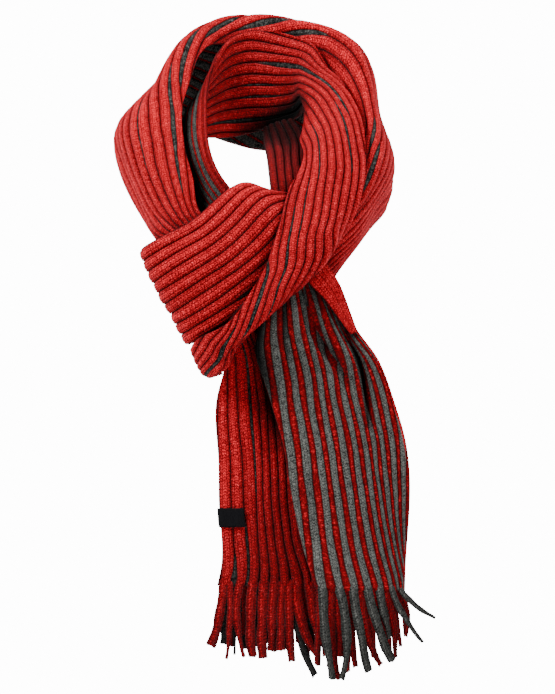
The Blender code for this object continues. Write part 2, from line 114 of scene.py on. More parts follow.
# From behind the knot up the left of the neck, round its back and down over the right shoulder, across
# the front and round the knot's lower corner. The one edge is the rim that stands away from the neck.
NECK_LANE = {
    "behind the knot": Span((-8, -140, -140), (-50, -130, -168), -2),
    "knot's inner edge": Span((-28, -142, -104), (-66, -122, -136), -3),
    "throat": Span((-46, -136, -81), (-84, -104, -110), -3),
    "neck front": Span((-56.5, -127, -62), (-94, -90, -90), -3),
    "neck left": Span((-62.5, -114, -38), (-102, -76, -66), -5),
    "neck left high": Span((-64, -88, -10), (-100, -56, -50), -6),
    "neck left turn": Span((-62, -56, 18), (-88, -36, -36), -5),
    "nape left corner": Span((-54, -22, 44), (-68, -20, -36), -2),
    "nape left": Span((-42, -2, 61), (-50, -4, -36), 2),
    "nape left middle": Span((-25, 14, 69), (-32, 3, -34), 5),
    "nape": Span((0, 21, 70), (-4, 4, -27), 6),
    "nape right": Span((23, 18, 65), (14, -2, -21), 8),
    "nape right corner": Span((42, 8, 57), (24, -11, -16), 10),
    "roll top": Span((53, -8, 40), (27, -28, -8), 12),
    "roll shoulder": Span((69, -30, 20), (29, -52, -18), 14),
    "roll side": Span((83, -58, -2), (32, -82, -40), 14),
    "roll front": Span((91, -84, -23), (36, -112, -55), 12),
    "roll breast": Span((94, -108, -47), (30, -142, -73), 10),
    "roll meets the knot": Span((94, -126, -70), (19, -168, -91), 8),
    "on the knot": Span((90, -146, -96), (13, -184, -112), 7),
    "on the knot lower": Roll((74, -163, -131), (66, -178, -127), (37, -190, -130), (7, -192, -134)),
    "on the knot middle": Roll((38, -183, -171), (55, -185, -160), (27, -196, -163), (-3, -197, -165)),
    "lower edge": Roll((-4, -193, -188), (14, -192, -202), (10, -202, -197), (-12, -201, -182)),
    "fan": Roll((-33, -192, -211), (-13, -192, -227), (-14, -201, -224), (-31, -201, -212)),
    "fan left": Roll((-50, -178, -236), (-39, -178, -253), (-40, -188, -253), (-54, -191, -231)),
    "lower corner": Roll((-62, -167, -249), (-46, -166, -266), (-46, -175, -267), (-72, -178, -240)),
    "corner turn": Roll((-66, -161, -253), (-54.5, -161, -269), (-58, -161, -274), (-77.5, -161, -249)),
    "behind the corner": Roll((-63, -146, -256), (-51, -146, -270), (-48, -138, -272), (-64, -136, -251)),
}

# From the nape down inside the neck's right, behind the knot, and down the right tail to its hem.
# The one edge is the left one in a front view.
RIGHT_LANE = {
    "below the nape": Span((-6, 2.5, -28.6), (24, -13, -19), 2),
    "neck side high": Span((-6, -30, -42), (36, -44, -38), 2),
    "neck side": Span((-3, -78, -56), (38, -84, -56), 3),
    "neck side low": Span((-1, -112, -72), (38, -112, -72), 3),
    "knot's inner edge": Span((1, -135, -90), (40, -132, -90), 2),
    "behind the knot": Span((3, -145, -118), (44, -142, -114), 2),
    "in the knot": Span((1, -159, -158), (49, -155, -150), 2),
    "tail gathers": Span((-8, -164, -203), (58, -159, -172), 2),
    "tail leaves the knot": Span((-12, -166, -232), (68, -159, -187), 3),
    "tail opens": Span((-14, -167, -252), (82, -160, -222), 4),
    "tail high": Span((-4, -168, -285), (106, -162, -257), 4),
    "tail upper": Span((5, -170, -314), (123, -163, -300), 4),
    "tail middle": Span((13, -172, -342), (133.5, -164, -335), 4),
    "tail widest": Span((20, -174, -382), (139, -164, -382), 4),
    "tail low": Span((28, -175, -425), (137, -164, -432), 4),
    "tail foot": Span((36, -176, -457), (135, -164, -460), 4),
    "hem": Span((48, -176, -490), (134, -165, -490), 3),
}

# The right tail's edge, turned over to the front just under the knot. The one edge is the inner one.
TURNOVER_LANE = {
    "under the roll": Span((37, -168, -180), (55, -165, -163), 1),
    "top": Span((43, -169.5, -187), (62, -166, -173), 1),
    "upper": Span((53, -168.4, -197), (69, -164.4, -185), 1),
    "middle": Span((63, -167, -210), (76, -164, -203), 1),
    "lower": Span((72, -166.2, -222), (82, -165, -219), 1),
    "tip": Span((81, -166, -234), (87, -166, -232), 0.5),
}

Lane = namedtuple("Lane", "rows outward")
LANES = {
    "outer": Lane(OUTER_LANE, -1),
    "neck": Lane(NECK_LANE, 1),
    "right": Lane(RIGHT_LANE, -1),
    "turnover": Lane(TURNOVER_LANE, -1),
}

# Folds: troughs that sink away from a lane's outward side. Each runs from one section to another,
# from one share of the way across to another, and fades out towards both its ends.
Fold = namedtuple("Fold", "lane start end share_at_start share_at_end depth width")
FOLDS = (
    Fold("right", "tail gathers", "tail upper", 0.50, 0.66, 6.0, 0.05),
    Fold("right", "tail leaves the knot", "tail middle", 0.90, 0.76, 5.0, 0.05),
    Fold("outer", "tail middle", "in the knot", 0.62, 0.66, 4.0, 0.05),
    Fold("neck", "nape right", "roll side", 1.0, 1.0, 9.0, 0.22),
)

# A sheet of knit: its lane, where it starts and ends, its ribs, the side of the lane that its right
# side faces, its ribs' red on that side and on the other (1 is red, 0 charcoal), the half width of
# its channels as a share of a rib's pitch on either side, how deep the creases between the stitch
# columns of a rib are and how much painted shade lies in them, the least painted light that it
# keeps where it is shut in, and how far an open channel's yarn rises on the right side, as a share
# of a rib's height.
Sheet = namedtuple(
    "Sheet",
    "lane start end ribs side face back gap back_gap creases least_sky channel_rise",
    defaults=(0, 0.55),
)
SHEETS = {
    "left_tail": Sheet("outer", "hem", "in the knot", 13, 1, 1, 0, 0.018, 0.10, 0.5, 0.86),
    "outer_turn": Sheet("outer", "in the knot", "behind the tails", 13, 1, 1, 0, 0.016, 0.10, 0.35),
    "knot_wrap": Sheet("outer", "behind the tails", "under the front roll", 9, -1, 1, 0, 0.018, 0.10, 1.0),
    "inner_turn": Sheet("neck", "behind the knot", "behind the corner", 9, 1, 1, 0, 0.018, 0.16, 0.6),
    "neck_side": Sheet("right", "below the nape", "in the knot", 5, 1, 1, 0, 0.03, 0.10, 0.6),
    "right_tail": Sheet("right", "in the knot", "hem", 12, 1, 0, 1, 0.228, 0.02, 0.4, 0, 0.85),
    "turned_edge": Sheet("turnover", "under the roll", "tip", 2, 1, 1, 0, 0.012, 0.02, 0.7),
}
# The solids that each sheet stands for, how it is held, what it rests on or hangs from, and the
# pieces that hang on it.
Ties = namedtuple("Ties", "solids held rests_on pieces", defaults=((),))
TIES = {
    "left_tail": Ties(["tail_left"], "hung", ["outer_turn"], ["left_fringe", "woven_label"]),
    "outer_turn": Ties(["left_outer", "back_outer", "right_outer"], "draped", ["inner_turn", "nape"]),
    "knot_wrap": Ties(["knot_back", "knot_front"], "folded", ["right_tail", "left_tail"]),
    "inner_turn": Ties(["neck_left", "neck_back", "front_roll"], "draped", ["knot_wrap", "nape"]),
    "neck_side": Ties(["neck_right"], "draped", ["inner_turn"]),
    "right_tail": Ties(["tail_right"], "hung", ["knot_wrap"], ["right_fringe"]),
    "turned_edge": Ties(["tail_turnover"], "folded", ["right_tail"]),
}
# Where a charcoal face shows red along an edge, from and to in ribs from the sheet's one edge. True is
# the right side.
RED_RIMS = {("inner_turn", False): (-1, 1.5), ("right_tail", True): (11.78, 13)}

# Where a sheet's channels lie when its ribs are of unequal widths: the place along the sheet in
# millimetres, and its channels from the first on, in ribs from its one edge.
CHANNELS = {
    "left_tail": (
        (0, (0.6, 1.2, 1.8, 2.4, 3.1, 3.88, 5.35, 6.55, 7.65, 8.75, 9.91, 11.37)),
        (40, (0.9, 1.9, 2.9, 3.8, 4.8, 5.75, 6.60, 7.55, 8.40, 9.30, 10.45, 11.85)),
        (86, (1.0, 2.0, 3.0, 4.0, 5.0, 6.05, 6.90, 7.70, 8.55, 9.15, 10.55, 11.80)),
        (128, (1.0, 2.0, 3.0, 4.0, 5.0, 5.95, 6.75, 7.60, 8.40, 9.15, 10.55, 11.80)),
        (186, (1.0, 2.0, 3.0, 3.9, 4.8, 5.60, 6.30, 7.10, 7.90, 8.95, 10.45, 11.60)),
        (220, (1.0, 2.0, 3.0, 4.0, 5.0, 6.00, 6.90, 7.90, 8.85, 9.55, 11.40, 12.70)),
        (260, (1.0, 2.0, 3.0, 4.0, 5.1, 6.20, 7.30, 8.40, 9.30, 10.2, 12.10, 13.30)),
    ),
    "right_tail": (
        (60, (1.51, 3.25, 4.75, 6.19, 7.20, 7.85, 9.30, 9.89, 10.55, 10.95, 11.55)),
        (90, (1.46, 3.18, 4.61, 6.02, 7.03, 7.91, 9.25, 9.89, 10.60, 11.00, 11.55)),
        (120, (0.81, 2.51, 3.81, 5.27, 6.28, 7.50, 8.64, 9.49, 10.40, 10.95, 11.55)),
        (150, (0.35, 1.86, 3.21, 4.55, 5.64, 6.71, 7.84, 8.87, 9.88, 10.71, 11.71)),
        (190, (-0.10, 1.40, 2.84, 4.00, 5.20, 6.44, 7.50, 8.43, 9.36, 10.18, 11.29)),
        (230, (-0.30, 1.11, 2.67, 3.92, 5.07, 6.35, 7.41, 8.38, 9.04, 9.98, 10.92)),
        (270, (-0.40, 1.00, 2.70, 4.04, 5.42, 6.64, 7.88, 8.82, 9.55, 10.34, 11.06)),
        (310, (-0.80, 0.59, 2.49, 4.13, 5.69, 7.14, 8.60, 9.64, 10.52, 11.15, 11.64)),
        (347, (-1.60, -0.50, 2.00, 4.10, 6.10, 8.05, 9.60, 10.75, 11.60, 12.30, 12.90)),
    ),
}

# Creases pressed into the cloth, and patches of painted shade: troughs where depth is above 0,
# ridges where it is below, and painted shade alone where it is 0. Each runs from one place along
# its sheet to another in millimetres, from one rib to another, and fades out towards both ends. Its
# width is in ribs, and shade is how far its painted shade darkens the colour at its middle.
Crease = namedtuple("Crease", "start end rib_at_start rib_at_end depth width shade")
CREASE_AND_SHADE_ROWS = {
    "right_tail": (
        (34, 150, 7.0, 8.4, 6.0, 0.75, 0.4), (40, 140, 7.1, 8.25, 4.0, 0.22, 0.9),
        (84, 196, 11.0, 8.7, 6.0, 0.7, 0.4), (90, 186, 10.9, 8.8, 4.0, 0.22, 0.9),
        (70, 180, 9.3, 8.9, -3.0, 0.9, 0.0), (20, 110, 4.6, 3.2, 3.0, 0.7, 0.45),
        (10, 150, 0.3, 0.0, 0.0, 0.95, 0.78), (200, 320, 2.2, 1.6, 1.6, 0.8, 0.15),
    ),
    "left_tail": (
        (-80, 330, 6.5, 6.5, 0.0, 4.2, 0.17), (-140, 110, 8.0, 8.0, 0.0, 6.0, 0.3),
        (128, 330, 6.1, 7.0, 8.0, 1.35, 0.985), (20, 160, 9.9, 9.7, 1.6, 0.5, 0.05),
        (30, 200, 2.5, 3.1, 2.6, 0.9, 0.2),
    ),
    "outer_turn": (
        (40, 150, 4.0, 6.5, 2.6, 1.0, 0.12), (130, 250, 8.5, 6.8, 2.2, 0.9, 0.08),
        (250, 330, 3.0, 5.5, 2.0, 0.8, 0.08), (320, 430, 9.5, 8.0, 2.6, 1.1, 0.1),
        (380, 450, 4.5, 6.0, -1.8, 0.9, 0.0), (450, 560, 10.0, 8.2, 2.4, 0.9, 0.1),
        (540, 650, 3.5, 5.0, 2.2, 0.8, 0.08), (600, 740, 8.5, 10.0, 2.8, 1.0, 0.12),
        (690, 790, 5.2, 3.6, 2.6, 0.8, 0.15),
    ),
    "inner_turn": (
        (120, 240, 3.0, 4.5, 2.0, 0.7, 0.12), (300, 420, 5.5, 6.4, 1.6, 0.7, 0.08),
        (480, 620, 7.8, 8.3, 2.0, 0.8, 0.15), (640, 780, 3.2, 5.8, 2.4, 0.7, 0.18),
        (262, 410, 9.2, 7.4, 0.0, 1.35, 0.97), (196, 424, 5.4, 5.4, 0.0, 5.4, 0.24),
    ),
    "knot_wrap": (
        (60, 190, 2.6, 3.4, 1.8, 0.6, 0.12), (150, 270, 6.2, 5.4, 1.8, 0.6, 0.12),
    ),
    "neck_side": (
        (20, 120, 2.6, 2.2, 1.5, 0.6, 0.15), (-60, 216, 2.5, 2.5, 0.0, 9.0, 0.48),
        (-70, 70, 2.5, 2.5, 0.0, 9.0, 0.55),
    ),
}
CREASES_AND_SHADES = {name: [Crease(*row) for row in rows] for name, rows in CREASE_AND_SHADE_ROWS.items()}

# How far the ribs drift across a sheet as it is dragged round: the place along the sheet in
# millimetres, and the drift there in ribs. The ribs roll in over one edge and out over the other.
DRIFTS = {
    "outer_turn": (
        (0, 0), (100, 0), (140, -0.3), (172, -0.8), (210, -1.25), (252, -1.15), (278, -0.5),
        (302, 0.05), (338, 0.15), (356, 0.55), (388, 1.47), (404, 2.05), (434, 2.9), (456, 3.65),
        (480, 4.6), (500, 5.1), (628, 5.2), (644, 4.75), (686, 4.3), (800, 4.0),
    ),
    "inner_turn": (
        (0, 0), (220, 0), (250, -0.5), (284, -0.2), (304, 0.2), (324, 0.35), (370, 0.15), (396, -0.75),
        (414, -1.25), (440, -1.45), (472, -1.5), (500, -1.9), (520, -2.3), (560, -2.3), (580, -2.5),
        (614, -2.8), (640, -3.35), (664, -3.95), (682, -4.25), (692, -4.7), (704, -5.1), (712, -5.6),
        (730, -7.1), (744, -7.7), (760, -8.1), (770, -9.1), (800, -9.6),
    ),
}

# Channels that stand open and show the other yarn, by sheet: the channel counted from its one edge
# before any drift, where it opens and closes in millimetres along the sheet, and its half width in
# the middle as a share of a rib's pitch.
Stripe = namedtuple("Stripe", "channel start end half_width")
STRIPE_ROWS = {
    "outer_turn": (
        (2, 132, 318, 0.2), (1, 284, 366, 0.24), (0, 362, 412, 0.24), (-1, 408, 464, 0.22),
        (-2, 454, 508, 0.18), (-2, 618, 658, 0.24), (-1, 652, 708, 0.26), (5, 180, 300, 0.05),
        (3, 20, 110, 0.12),
    ),
    "inner_turn": (
        (8, 232, 326, 0.17), (5, 274, 312, 0.09), (6, 268, 320, 0.08), (3, 288, 452, 0.3),
        (4, 420, 534, 0.15), (9, 518, 612, 0.07), (8, 428, 534, 0.1), (10, 550, 706, 0.14),
        (12, 622, 744, 0.27), (14, 716, 790, 0.28),
    ),
    "knot_wrap": (
        (8, 246, 275, 0.12),
    ),
    "left_tail": (
        (10, 84, 300, 0.1), (11, -20, 66, 0.1), (12, -30, 34, 0.16),
    ),
    "right_tail": (
        (6, 20, 136, 0.34), (7, 30, 150, 0.34),
    ),
}
STRIPES = {name: [Stripe(*row) for row in rows] for name, rows in STRIPE_ROWS.items()}

# One face of a sheet: its points at the floor of its channels, their shares across the sheet, where
# they lie in the knit's own count of ribs, and their attributes. How far the ribs rise is one of them.
Face = namedtuple("Face", "points shares count layers")
# The attributes of the points along a sheet's two edges, where they aren't read from its faces.
RIM_LAYERS = {
    "rise": 0,
    "off_middle": 0.4,
    "opened": 0,
    "channel_rise": 0,
    "creases": 0,
    "face_red": 1,
    "channel_red": 1,
}

# A strand of fringe: where it is at its root, half way down and at its tip, how low it ends, and its
# width at its root and its tip.
Strand = namedtuple("Strand", "root_x middle_x tip_x tip_z width tip_width")
# Strands of one yarn, red or not, that hang from the front or from behind, as rows of a strand's values.
Bunch = namedtuple("Bunch", "red front strands")
# A fringe: the solid that it stands for, the sheet that it hangs from, how much painted light its
# front and its back strands have at their roots (painted shade, deeper behind and towards their
# tips), and its bunches.
Fringe = namedtuple("Fringe", "solid sheet shade back_shade bunches")
FRINGES = {
    "left_fringe": Fringe("fringe_left", "left_tail", 0.75, 0.52, (
        Bunch(1, 1, (
            (-46.4, -50.4, -58.5, -545, 9.6, 10.0), (-40.0, -40.0, -44.0, -559, 6.8, 3.2),
            (-30.5, -33.0, -25.5, -556, 8.5, 3.8), (-17.5, -19.5, -17.5, -556, 10.4, 9.5),
            (-6.5, -8.0, -7.5, -557, 10.2, 10.2), (4.0, 1.8, 2.0, -550, 10.0, 9.4),
            (12.6, 10.6, 11.0, -549.5, 8.0, 8.8), (19.0, 19.4, 21.2, -560, 9.6, 8.8),
            (26.0, 31.5, 47.0, -556, 12.0, 7.0), (39.5, 44.0, 49.0, -544, 11.6, 8.4),
            (52.0, 54.0, 55.0, -555, 9.9, 7.4), (61.0, 63.0, 64.0, -551, 9.0, 8.0),
            (68.0, 72.0, 73.0, -556, 7.5, 6.0),
        )),
        Bunch(1, 0, (
            (34.0, 37.0, 38.5, -560, 5.6, 3.4), (45.0, 48.0, 48.5, -565, 6.2, 4.6),
            (-37.0, -37.0, -38.0, -546, 8.0, 6.5), (-26.0, -26.5, -25.0, -548, 8.0, 6.5),
            (5.0, 5.0, 6.0, -545, 8.0, 7.0), (24.0, 26.0, 29.0, -541, 8.0, 6.0),
            (32.0, 38.0, 43.0, -550, 8.0, 6.0),
        )),
        Bunch(0, 0, (
            (-41.0, -43.5, -46.5, -543, 9.0, 8.4), (-35.5, -35.0, -36.0, -553, 5.6, 2.9),
            (-34.0, -30.0, -26.0, -547, 7.8, 6.7), (-15.5, -14.0, -13.0, -545, 7.8, 6.7),
            (-3.0, -3.0, -2.0, -543, 7.8, 6.7), (7.0, 6.0, 7.0, -542, 7.8, 6.7),
            (19.5, 27.6, 44.8, -575, 7.6, 7.3), (34.0, 38.0, 40.5, -542, 7.4, 5.2),
        )),
        Bunch(1, 0, (
            (15.6, 15.4, 16.2, -547, 8.0, 7.0),
        )),
        Bunch(0, 0, (
            (57.0, 58.0, 59.0, -548, 7.8, 6.7), (66.0, 68.0, 68.0, -550, 7.8, 6.7),
        )),
    )),
    "right_fringe": Fringe("fringe_right", "right_tail", 0.81, 0.72, (
        Bunch(0, 1, (
            (52.5, 55.5, 62.5, -578, 9.6, 7.0), (69.5, 76.5, 72.0, -578, 9.4, 5.4),
            (83.0, 89.5, 98.5, -570.5, 9.4, 8.6), (97.5, 107.0, 121.5, -560, 9.4, 8.8),
            (109.0, 113.5, 119.5, -537, 8.4, 4.6), (121.5, 133.0, 152.0, -541, 6.4, 3.8),
            (130.5, 143.0, 163.5, -517.0, 5.8, 3.8),
        )),
        Bunch(1, 0, (
            (87.0, 90.0, 95.0, -560, 8.0, 6.0), (110.0, 116.0, 120.0, -551, 8.0, 5.0),
            (121.0, 126.0, 130.0, -546, 7.0, 4.0), (54.0, 56.0, 59.0, -566, 7.0, 5.0),
            (49.0, 48.5, 46.0, -563, 6.2, 4.5), (61.0, 61.0, 67.0, -578, 10.1, 7.3),
            (76.0, 80.0, 86.0, -566, 9.5, 5.6), (78.0, 79.0, 77.5, -571, 6.2, 4.5),
            (90.5, 96.0, 110.5, -565, 10.6, 5.6), (104.0, 111.0, 114.0, -550, 9.5, 5.6),
            (115.0, 123.0, 125.5, -556, 9.0, 4.5), (126.0, 133.5, 135.0, -535, 5.6, 4.0),
            (131.5, 137.5, 136.0, -535, 4.5, 3.8), (68.0, 69.0, 70.0, -556, 7.8, 5.6),
            (97.0, 101.0, 104.0, -556, 7.8, 5.6),
        )),
    )),
}
# How thick a strand is to its width.
FLATNESS = 0.30
# A strand leaves the cloth at these heights above the hem, and then takes this many steps to its tip.
ROOT_RISES = np.array([6.0, 4.0, 2.0, 0.0])
STRAND_STEPS = 24
# How far a tip hangs behind its root in millimetres, the least and the most, for a front strand and a
# back one. A number below 0 is in front.
FRONT_SWING = (-3.5, -0.5)
BACK_SWING = (0.6, 3.2)
# Points across the sheet among which a strand's root is found.
HEM_POINTS = 80
# Stitches round a strand, the length of one in metres, and how much painted shade darkens a strand's
# sides, in the measure of off_middle.
STITCHES_ROUND = 1.3333
STRAND_STITCH = 0.0029
STRAND_SIDE = 0.58

# What the trees are given besides their geometry. Fuzz and ragged ends are in metres.
FRINGE_NUMBERS = {"Flatness": FLATNESS, "Fuzz": 0.0004, "Ragged end": 0.0022}
RIB_NUMBERS = {"Patch size": 14.0, "Channel dip": 0.4, "Crease depth": 0.24}

# The label folded round the left tail's edge: its size and place, its rows and columns of points, how
# far in its seam lies, and the distance between its threads across and along.
LABEL_WIDTH = 24.0
LABEL_HEIGHT = 19.0
LABEL_TOP = -408.0
LABEL_THICKNESS = 0.9
LABEL_ROWS = 12
LABEL_COLUMNS = 14
SEAM_INSET = 2.0
THREAD_STEPS = (0.6, 0.45)

# Points across one rib, as shares of its width: with the creases between its three stitch columns,
# and plainly, for the reverse. CREASE is where the first crease lies, with its half width.
CREASE = 0.30
CREASE_HALF_WIDTH = 0.055
RIB_POINTS = (0.0, 0.04, 0.11, 0.2, CREASE, 0.37, 0.5, 0.63, 1 - CREASE, 0.8, 0.89, 0.96, 1.0)
PLAIN_RIB_POINTS = (0.0, 0.05, 0.16, 0.5, 0.84, 0.95, 1.0)
# A rib is at most this share of its pitch high.
TALLEST_RIB = 0.3
# How far an open channel's yarn rises on the reverse, as a share of a rib's height there.
BACK_CHANNEL_RISE = 0.5
# Channels of at least this half width are open along their whole length.
OPEN_GAP = 0.06
# How far channels sway from their lines, in ribs, over a length in millimetres, how much their widths
# vary over another, and how much wider they stand at a hem, in ribs.
CHANNEL_SWAY = 0.07
SWAY_LENGTH = 170
WIDTH_SWAY = 0.18
WIDTH_LENGTH = 110
HEM_SPREAD = 0.07
# The same for how far open stripes vary.
STRIPE_SWAY = 0.2
STRIPE_LENGTH = 60
# Tables of places along a sheet are read as a mean over this far to either side, in millimetres.
SMOOTHING = 12

# Points that are nearer to each other than this, in metres, are one.
SAME_PLACE = 2e-6
# Points across a section when it is measured, across a sheet when its creases are read, and how far
# in from its edges the way outwards is taken.
SECTION_POINTS = 200
EVEN_POINTS = 181
EDGE_SHARE = 0.02

# What finds how shut-in a place is, for the painted shade that darkens the knit's colour there: the
# coarse grid of places, the rays from each, how far they reach, where they start, and the power by
# which what they meet counts as open with its distance. The reverse gets no painted crease shade,
# and has this share of its open space as its painted light instead.
ROUGH_STEP = 8
ROUGH_SHARES = 17
SKY_RAYS = 20
SKY_REACH = 110.0
SKY_START = 3.6
SKY_FADE = 0.7
BACK_PAINTED_SKY = 0.8

# The studio, in metres: the floor's radius, the lamps' size, what they and the camera are turned to,
# and the height of the view there.
FLOOR_RADIUS = 1.5
LAMP_SIZE = 0.8
AIM = Vector((0.0075, -0.12, -0.247))
VIEW_HEIGHT = 0.694


def curve_through(knots, values, at):
    """Reads a natural cubic curve through the values at their knots, at each place asked for."""
    steps = np.diff(knots)
    slopes = np.diff(values, axis=0) / steps[:, None]
    system = np.eye(len(knots))
    bend = np.zeros_like(values)
    for i in range(1, len(knots) - 1):
        system[i, i - 1 : i + 2] = steps[i - 1], 2 * (steps[i - 1] + steps[i]), steps[i]
        bend[i] = 6 * (slopes[i] - slopes[i - 1])
    bend = np.linalg.solve(system, bend)
    k = np.clip(np.searchsorted(knots, at) - 1, 0, len(knots) - 2)
    step = steps[k][:, None]
    right = ((at - knots[k]) / steps[k])[:, None]
    left = 1 - right
    straight = left * values[k] + right * values[k + 1]
    return straight + ((left**3 - left) * bend[k] + (right**3 - right) * bend[k + 1]) * step**2 / 6


def lengths_along(points):
    """How far along a line of points each of them lies."""
    return np.concatenate([[0], np.cumsum(np.linalg.norm(np.diff(points, axis=0), axis=1))])


def points_at(wanted, known, points):
    """Reads a line of points at the wanted places, straight between the known ones."""
    return np.stack([np.interp(wanted, known, points[:, axis]) for axis in range(3)], axis=-1)


def unit(vectors):
    """Vectors of the same directions, each of length 1."""
    return vectors / np.linalg.norm(vectors, axis=-1, keepdims=True)


def quads(grid):
    """Faces between the neighbouring points of a grid of point numbers."""
    corners = [grid[:-1, :-1], grid[:-1, 1:], grid[1:, 1:], grid[1:, :-1]]
    return np.stack(corners, axis=-1).reshape(-1, 4).tolist()


def bridge(near, far):
    """Faces between two lines of point numbers."""
    return np.stack([near[:-1], near[1:], far[1:], far[:-1]], axis=-1).tolist()


def section_points(lane):
    """The four points of each section of a lane, as an array of rows, points and coordinates."""
    rows = list(lane.rows.values())
    middles = [(np.array(row.one) + np.array(row.other)) / 2 for row in rows]
    sections = []
    for i, row in enumerate(rows):
        if isinstance(row, Roll):
            sections.append([np.array(point, float) for point in row])
            continue
        one, other = np.array(row.one, float), np.array(row.other, float)
        chord = other - one
        onward = middles[min(i + 1, len(rows) - 1)] - middles[max(i - 1, 0)]
        out = unit(np.cross(chord, onward)) * lane.outward
        # The crown is how far a parabola stands out in its middle.
        shares = (0, 1 / 3, 2 / 3, 1)
        sections.append([one + chord * t + out * row.crown * 4 * t * (1 - t) for t in shares])
    return np.array(sections)


def lane_lengths(sections):
    """How far along the lane each section lies, taken as the mean over its points."""
    return np.mean([lengths_along(sections[:, k]) for k in range(sections.shape[1])], axis=0)


def rows_at(sections, knots, places, shares):
    """Points of a lane's middle surface at each place along it, each with its own shares across."""
    flat = sections.reshape(len(sections), -1)
    points = []
    for row, across in zip(curve_through(knots, flat, places).reshape(len(places), -1, 3), shares):
        reach = lengths_along(row)
        dense = curve_through(reach, row, np.linspace(0, reach[-1], SECTION_POINTS))
        run = lengths_along(dense)
        points.append(points_at(across * run[-1], run, dense))
    return np.array(points)


def across_and_along(points):
    """The steps of a grid of points across and along it."""
    return np.gradient(points, axis=1), np.gradient(points, axis=0)


def outward(lane, points):
    """Normals of a grid of points on a lane, on the lane's outward side."""
    return unit(np.cross(*across_and_along(points)) * lane.outward)


def fold_depth(lane, knots, places, shares):
    """How far the folds sink the lane's surface at each place along and share across."""
    depth = np.zeros(shares.shape)
    names = list(lane.rows)
    for fold in FOLDS:
        if LANES[fold.lane] is not lane:
            continue
        start, end = knots[names.index(fold.start)], knots[names.index(fold.end)]
        along = np.clip((places - start) / (end - start), 0, 1)
        centre = fold.share_at_start + (fold.share_at_end - fold.share_at_start) * along
        across = np.exp(-(((shares - centre[:, None]) / fold.width) ** 2))
        depth += fold.depth * np.sin(math.pi * along)[:, None] * across
    return depth


def middle_surface(lane, places, shares):
    """Points and outward normals of a lane's middle surface, with its folds."""
    sections = section_points(lane)
    knots = lane_lengths(sections)
    points = rows_at(sections, knots, places, shares)
    points = points - outward(lane, points) * fold_depth(lane, knots, places, shares)[:, :, None]
    return points, outward(lane, points)


def lane_span(sheet):
    """Where a sheet starts and ends along its lane."""
    lane = LANES[sheet.lane]
    knots = lane_lengths(section_points(lane))
    names = list(lane.rows)
    return knots[names.index(sheet.start)], knots[names.index(sheet.end)]


def rough_grid(sheet):
    """A sheet's middle surface on a coarse grid: places, shares, points and outward normals."""
    start, end = lane_span(sheet)
    places = np.linspace(start, end, int((end - start) / ROUGH_STEP) + 2)
    shares = np.linspace(0, 1, ROUGH_SHARES)
    return places, shares, *middle_surface(LANES[sheet.lane], places, np.tile(shares, (len(places), 1)))


def whole_cloth():
    """All the sheets as one rough surface that rays can meet."""
    points, faces = [], []
    for sheet in SHEETS.values():
        middle = rough_grid(sheet)[2]
        faces += quads(np.arange(middle.size // 3).reshape(middle.shape[:2]) + len(points))
        points += middle.reshape(-1, 3).tolist()
    return BVHTree.FromPolygons(points, faces)


def open_space(cloth, sheet, side, places, shares):
    """How much open space one face of a sheet looks out on, from 0 to 1, at each place and share. Its lack
    darkens the knit's colour as painted shade.
    """
    rough_places, rough_shares, middle, out = rough_grid(sheet)
    rays = np.arange(SKY_RAYS) + 0.5
    # Each ray is turned from the last by the golden angle, so that they are spread evenly.
    lean, turn = np.sqrt(rays / SKY_RAYS), rays * math.pi * (3 - math.sqrt(5))
    fan = np.stack([lean * np.cos(turn), lean * np.sin(turn), np.sqrt(1 - lean**2)], axis=-1)
    seen = np.zeros(middle.shape[:2])
    for spot in np.ndindex(seen.shape):
        normal = out[spot] * side
        upright = abs(normal[2]) >= 0.9
        aside = unit(np.cross(normal, (1.0, 0.0, 0.0) if upright else (0.0, 0.0, 1.0)))
        ways = fan @ np.array([aside, np.cross(normal, aside), normal])
        start = (middle[spot] + normal * SKY_START).tolist()
        for way in ways.tolist():
            reach = cloth.ray_cast(start, way, SKY_REACH)[3]
            seen[spot] += 1 if reach is None else (reach / SKY_REACH) ** SKY_FADE
    seen /= SKY_RAYS
    by_place = np.array([np.interp(places, rough_places, column) for column in seen.T]).T
    return np.array([np.interp(row, rough_shares, known) for row, known in zip(shares, by_place)])


def gentle(places, marks):
    """Reads a table of places and values smoothly, level beyond its ends."""
    at, values = np.array(marks, float).T
    near = np.interp(places[:, None] + np.linspace(-SMOOTHING, SMOOTHING, 13), at, values)
    return near.mean(axis=1)


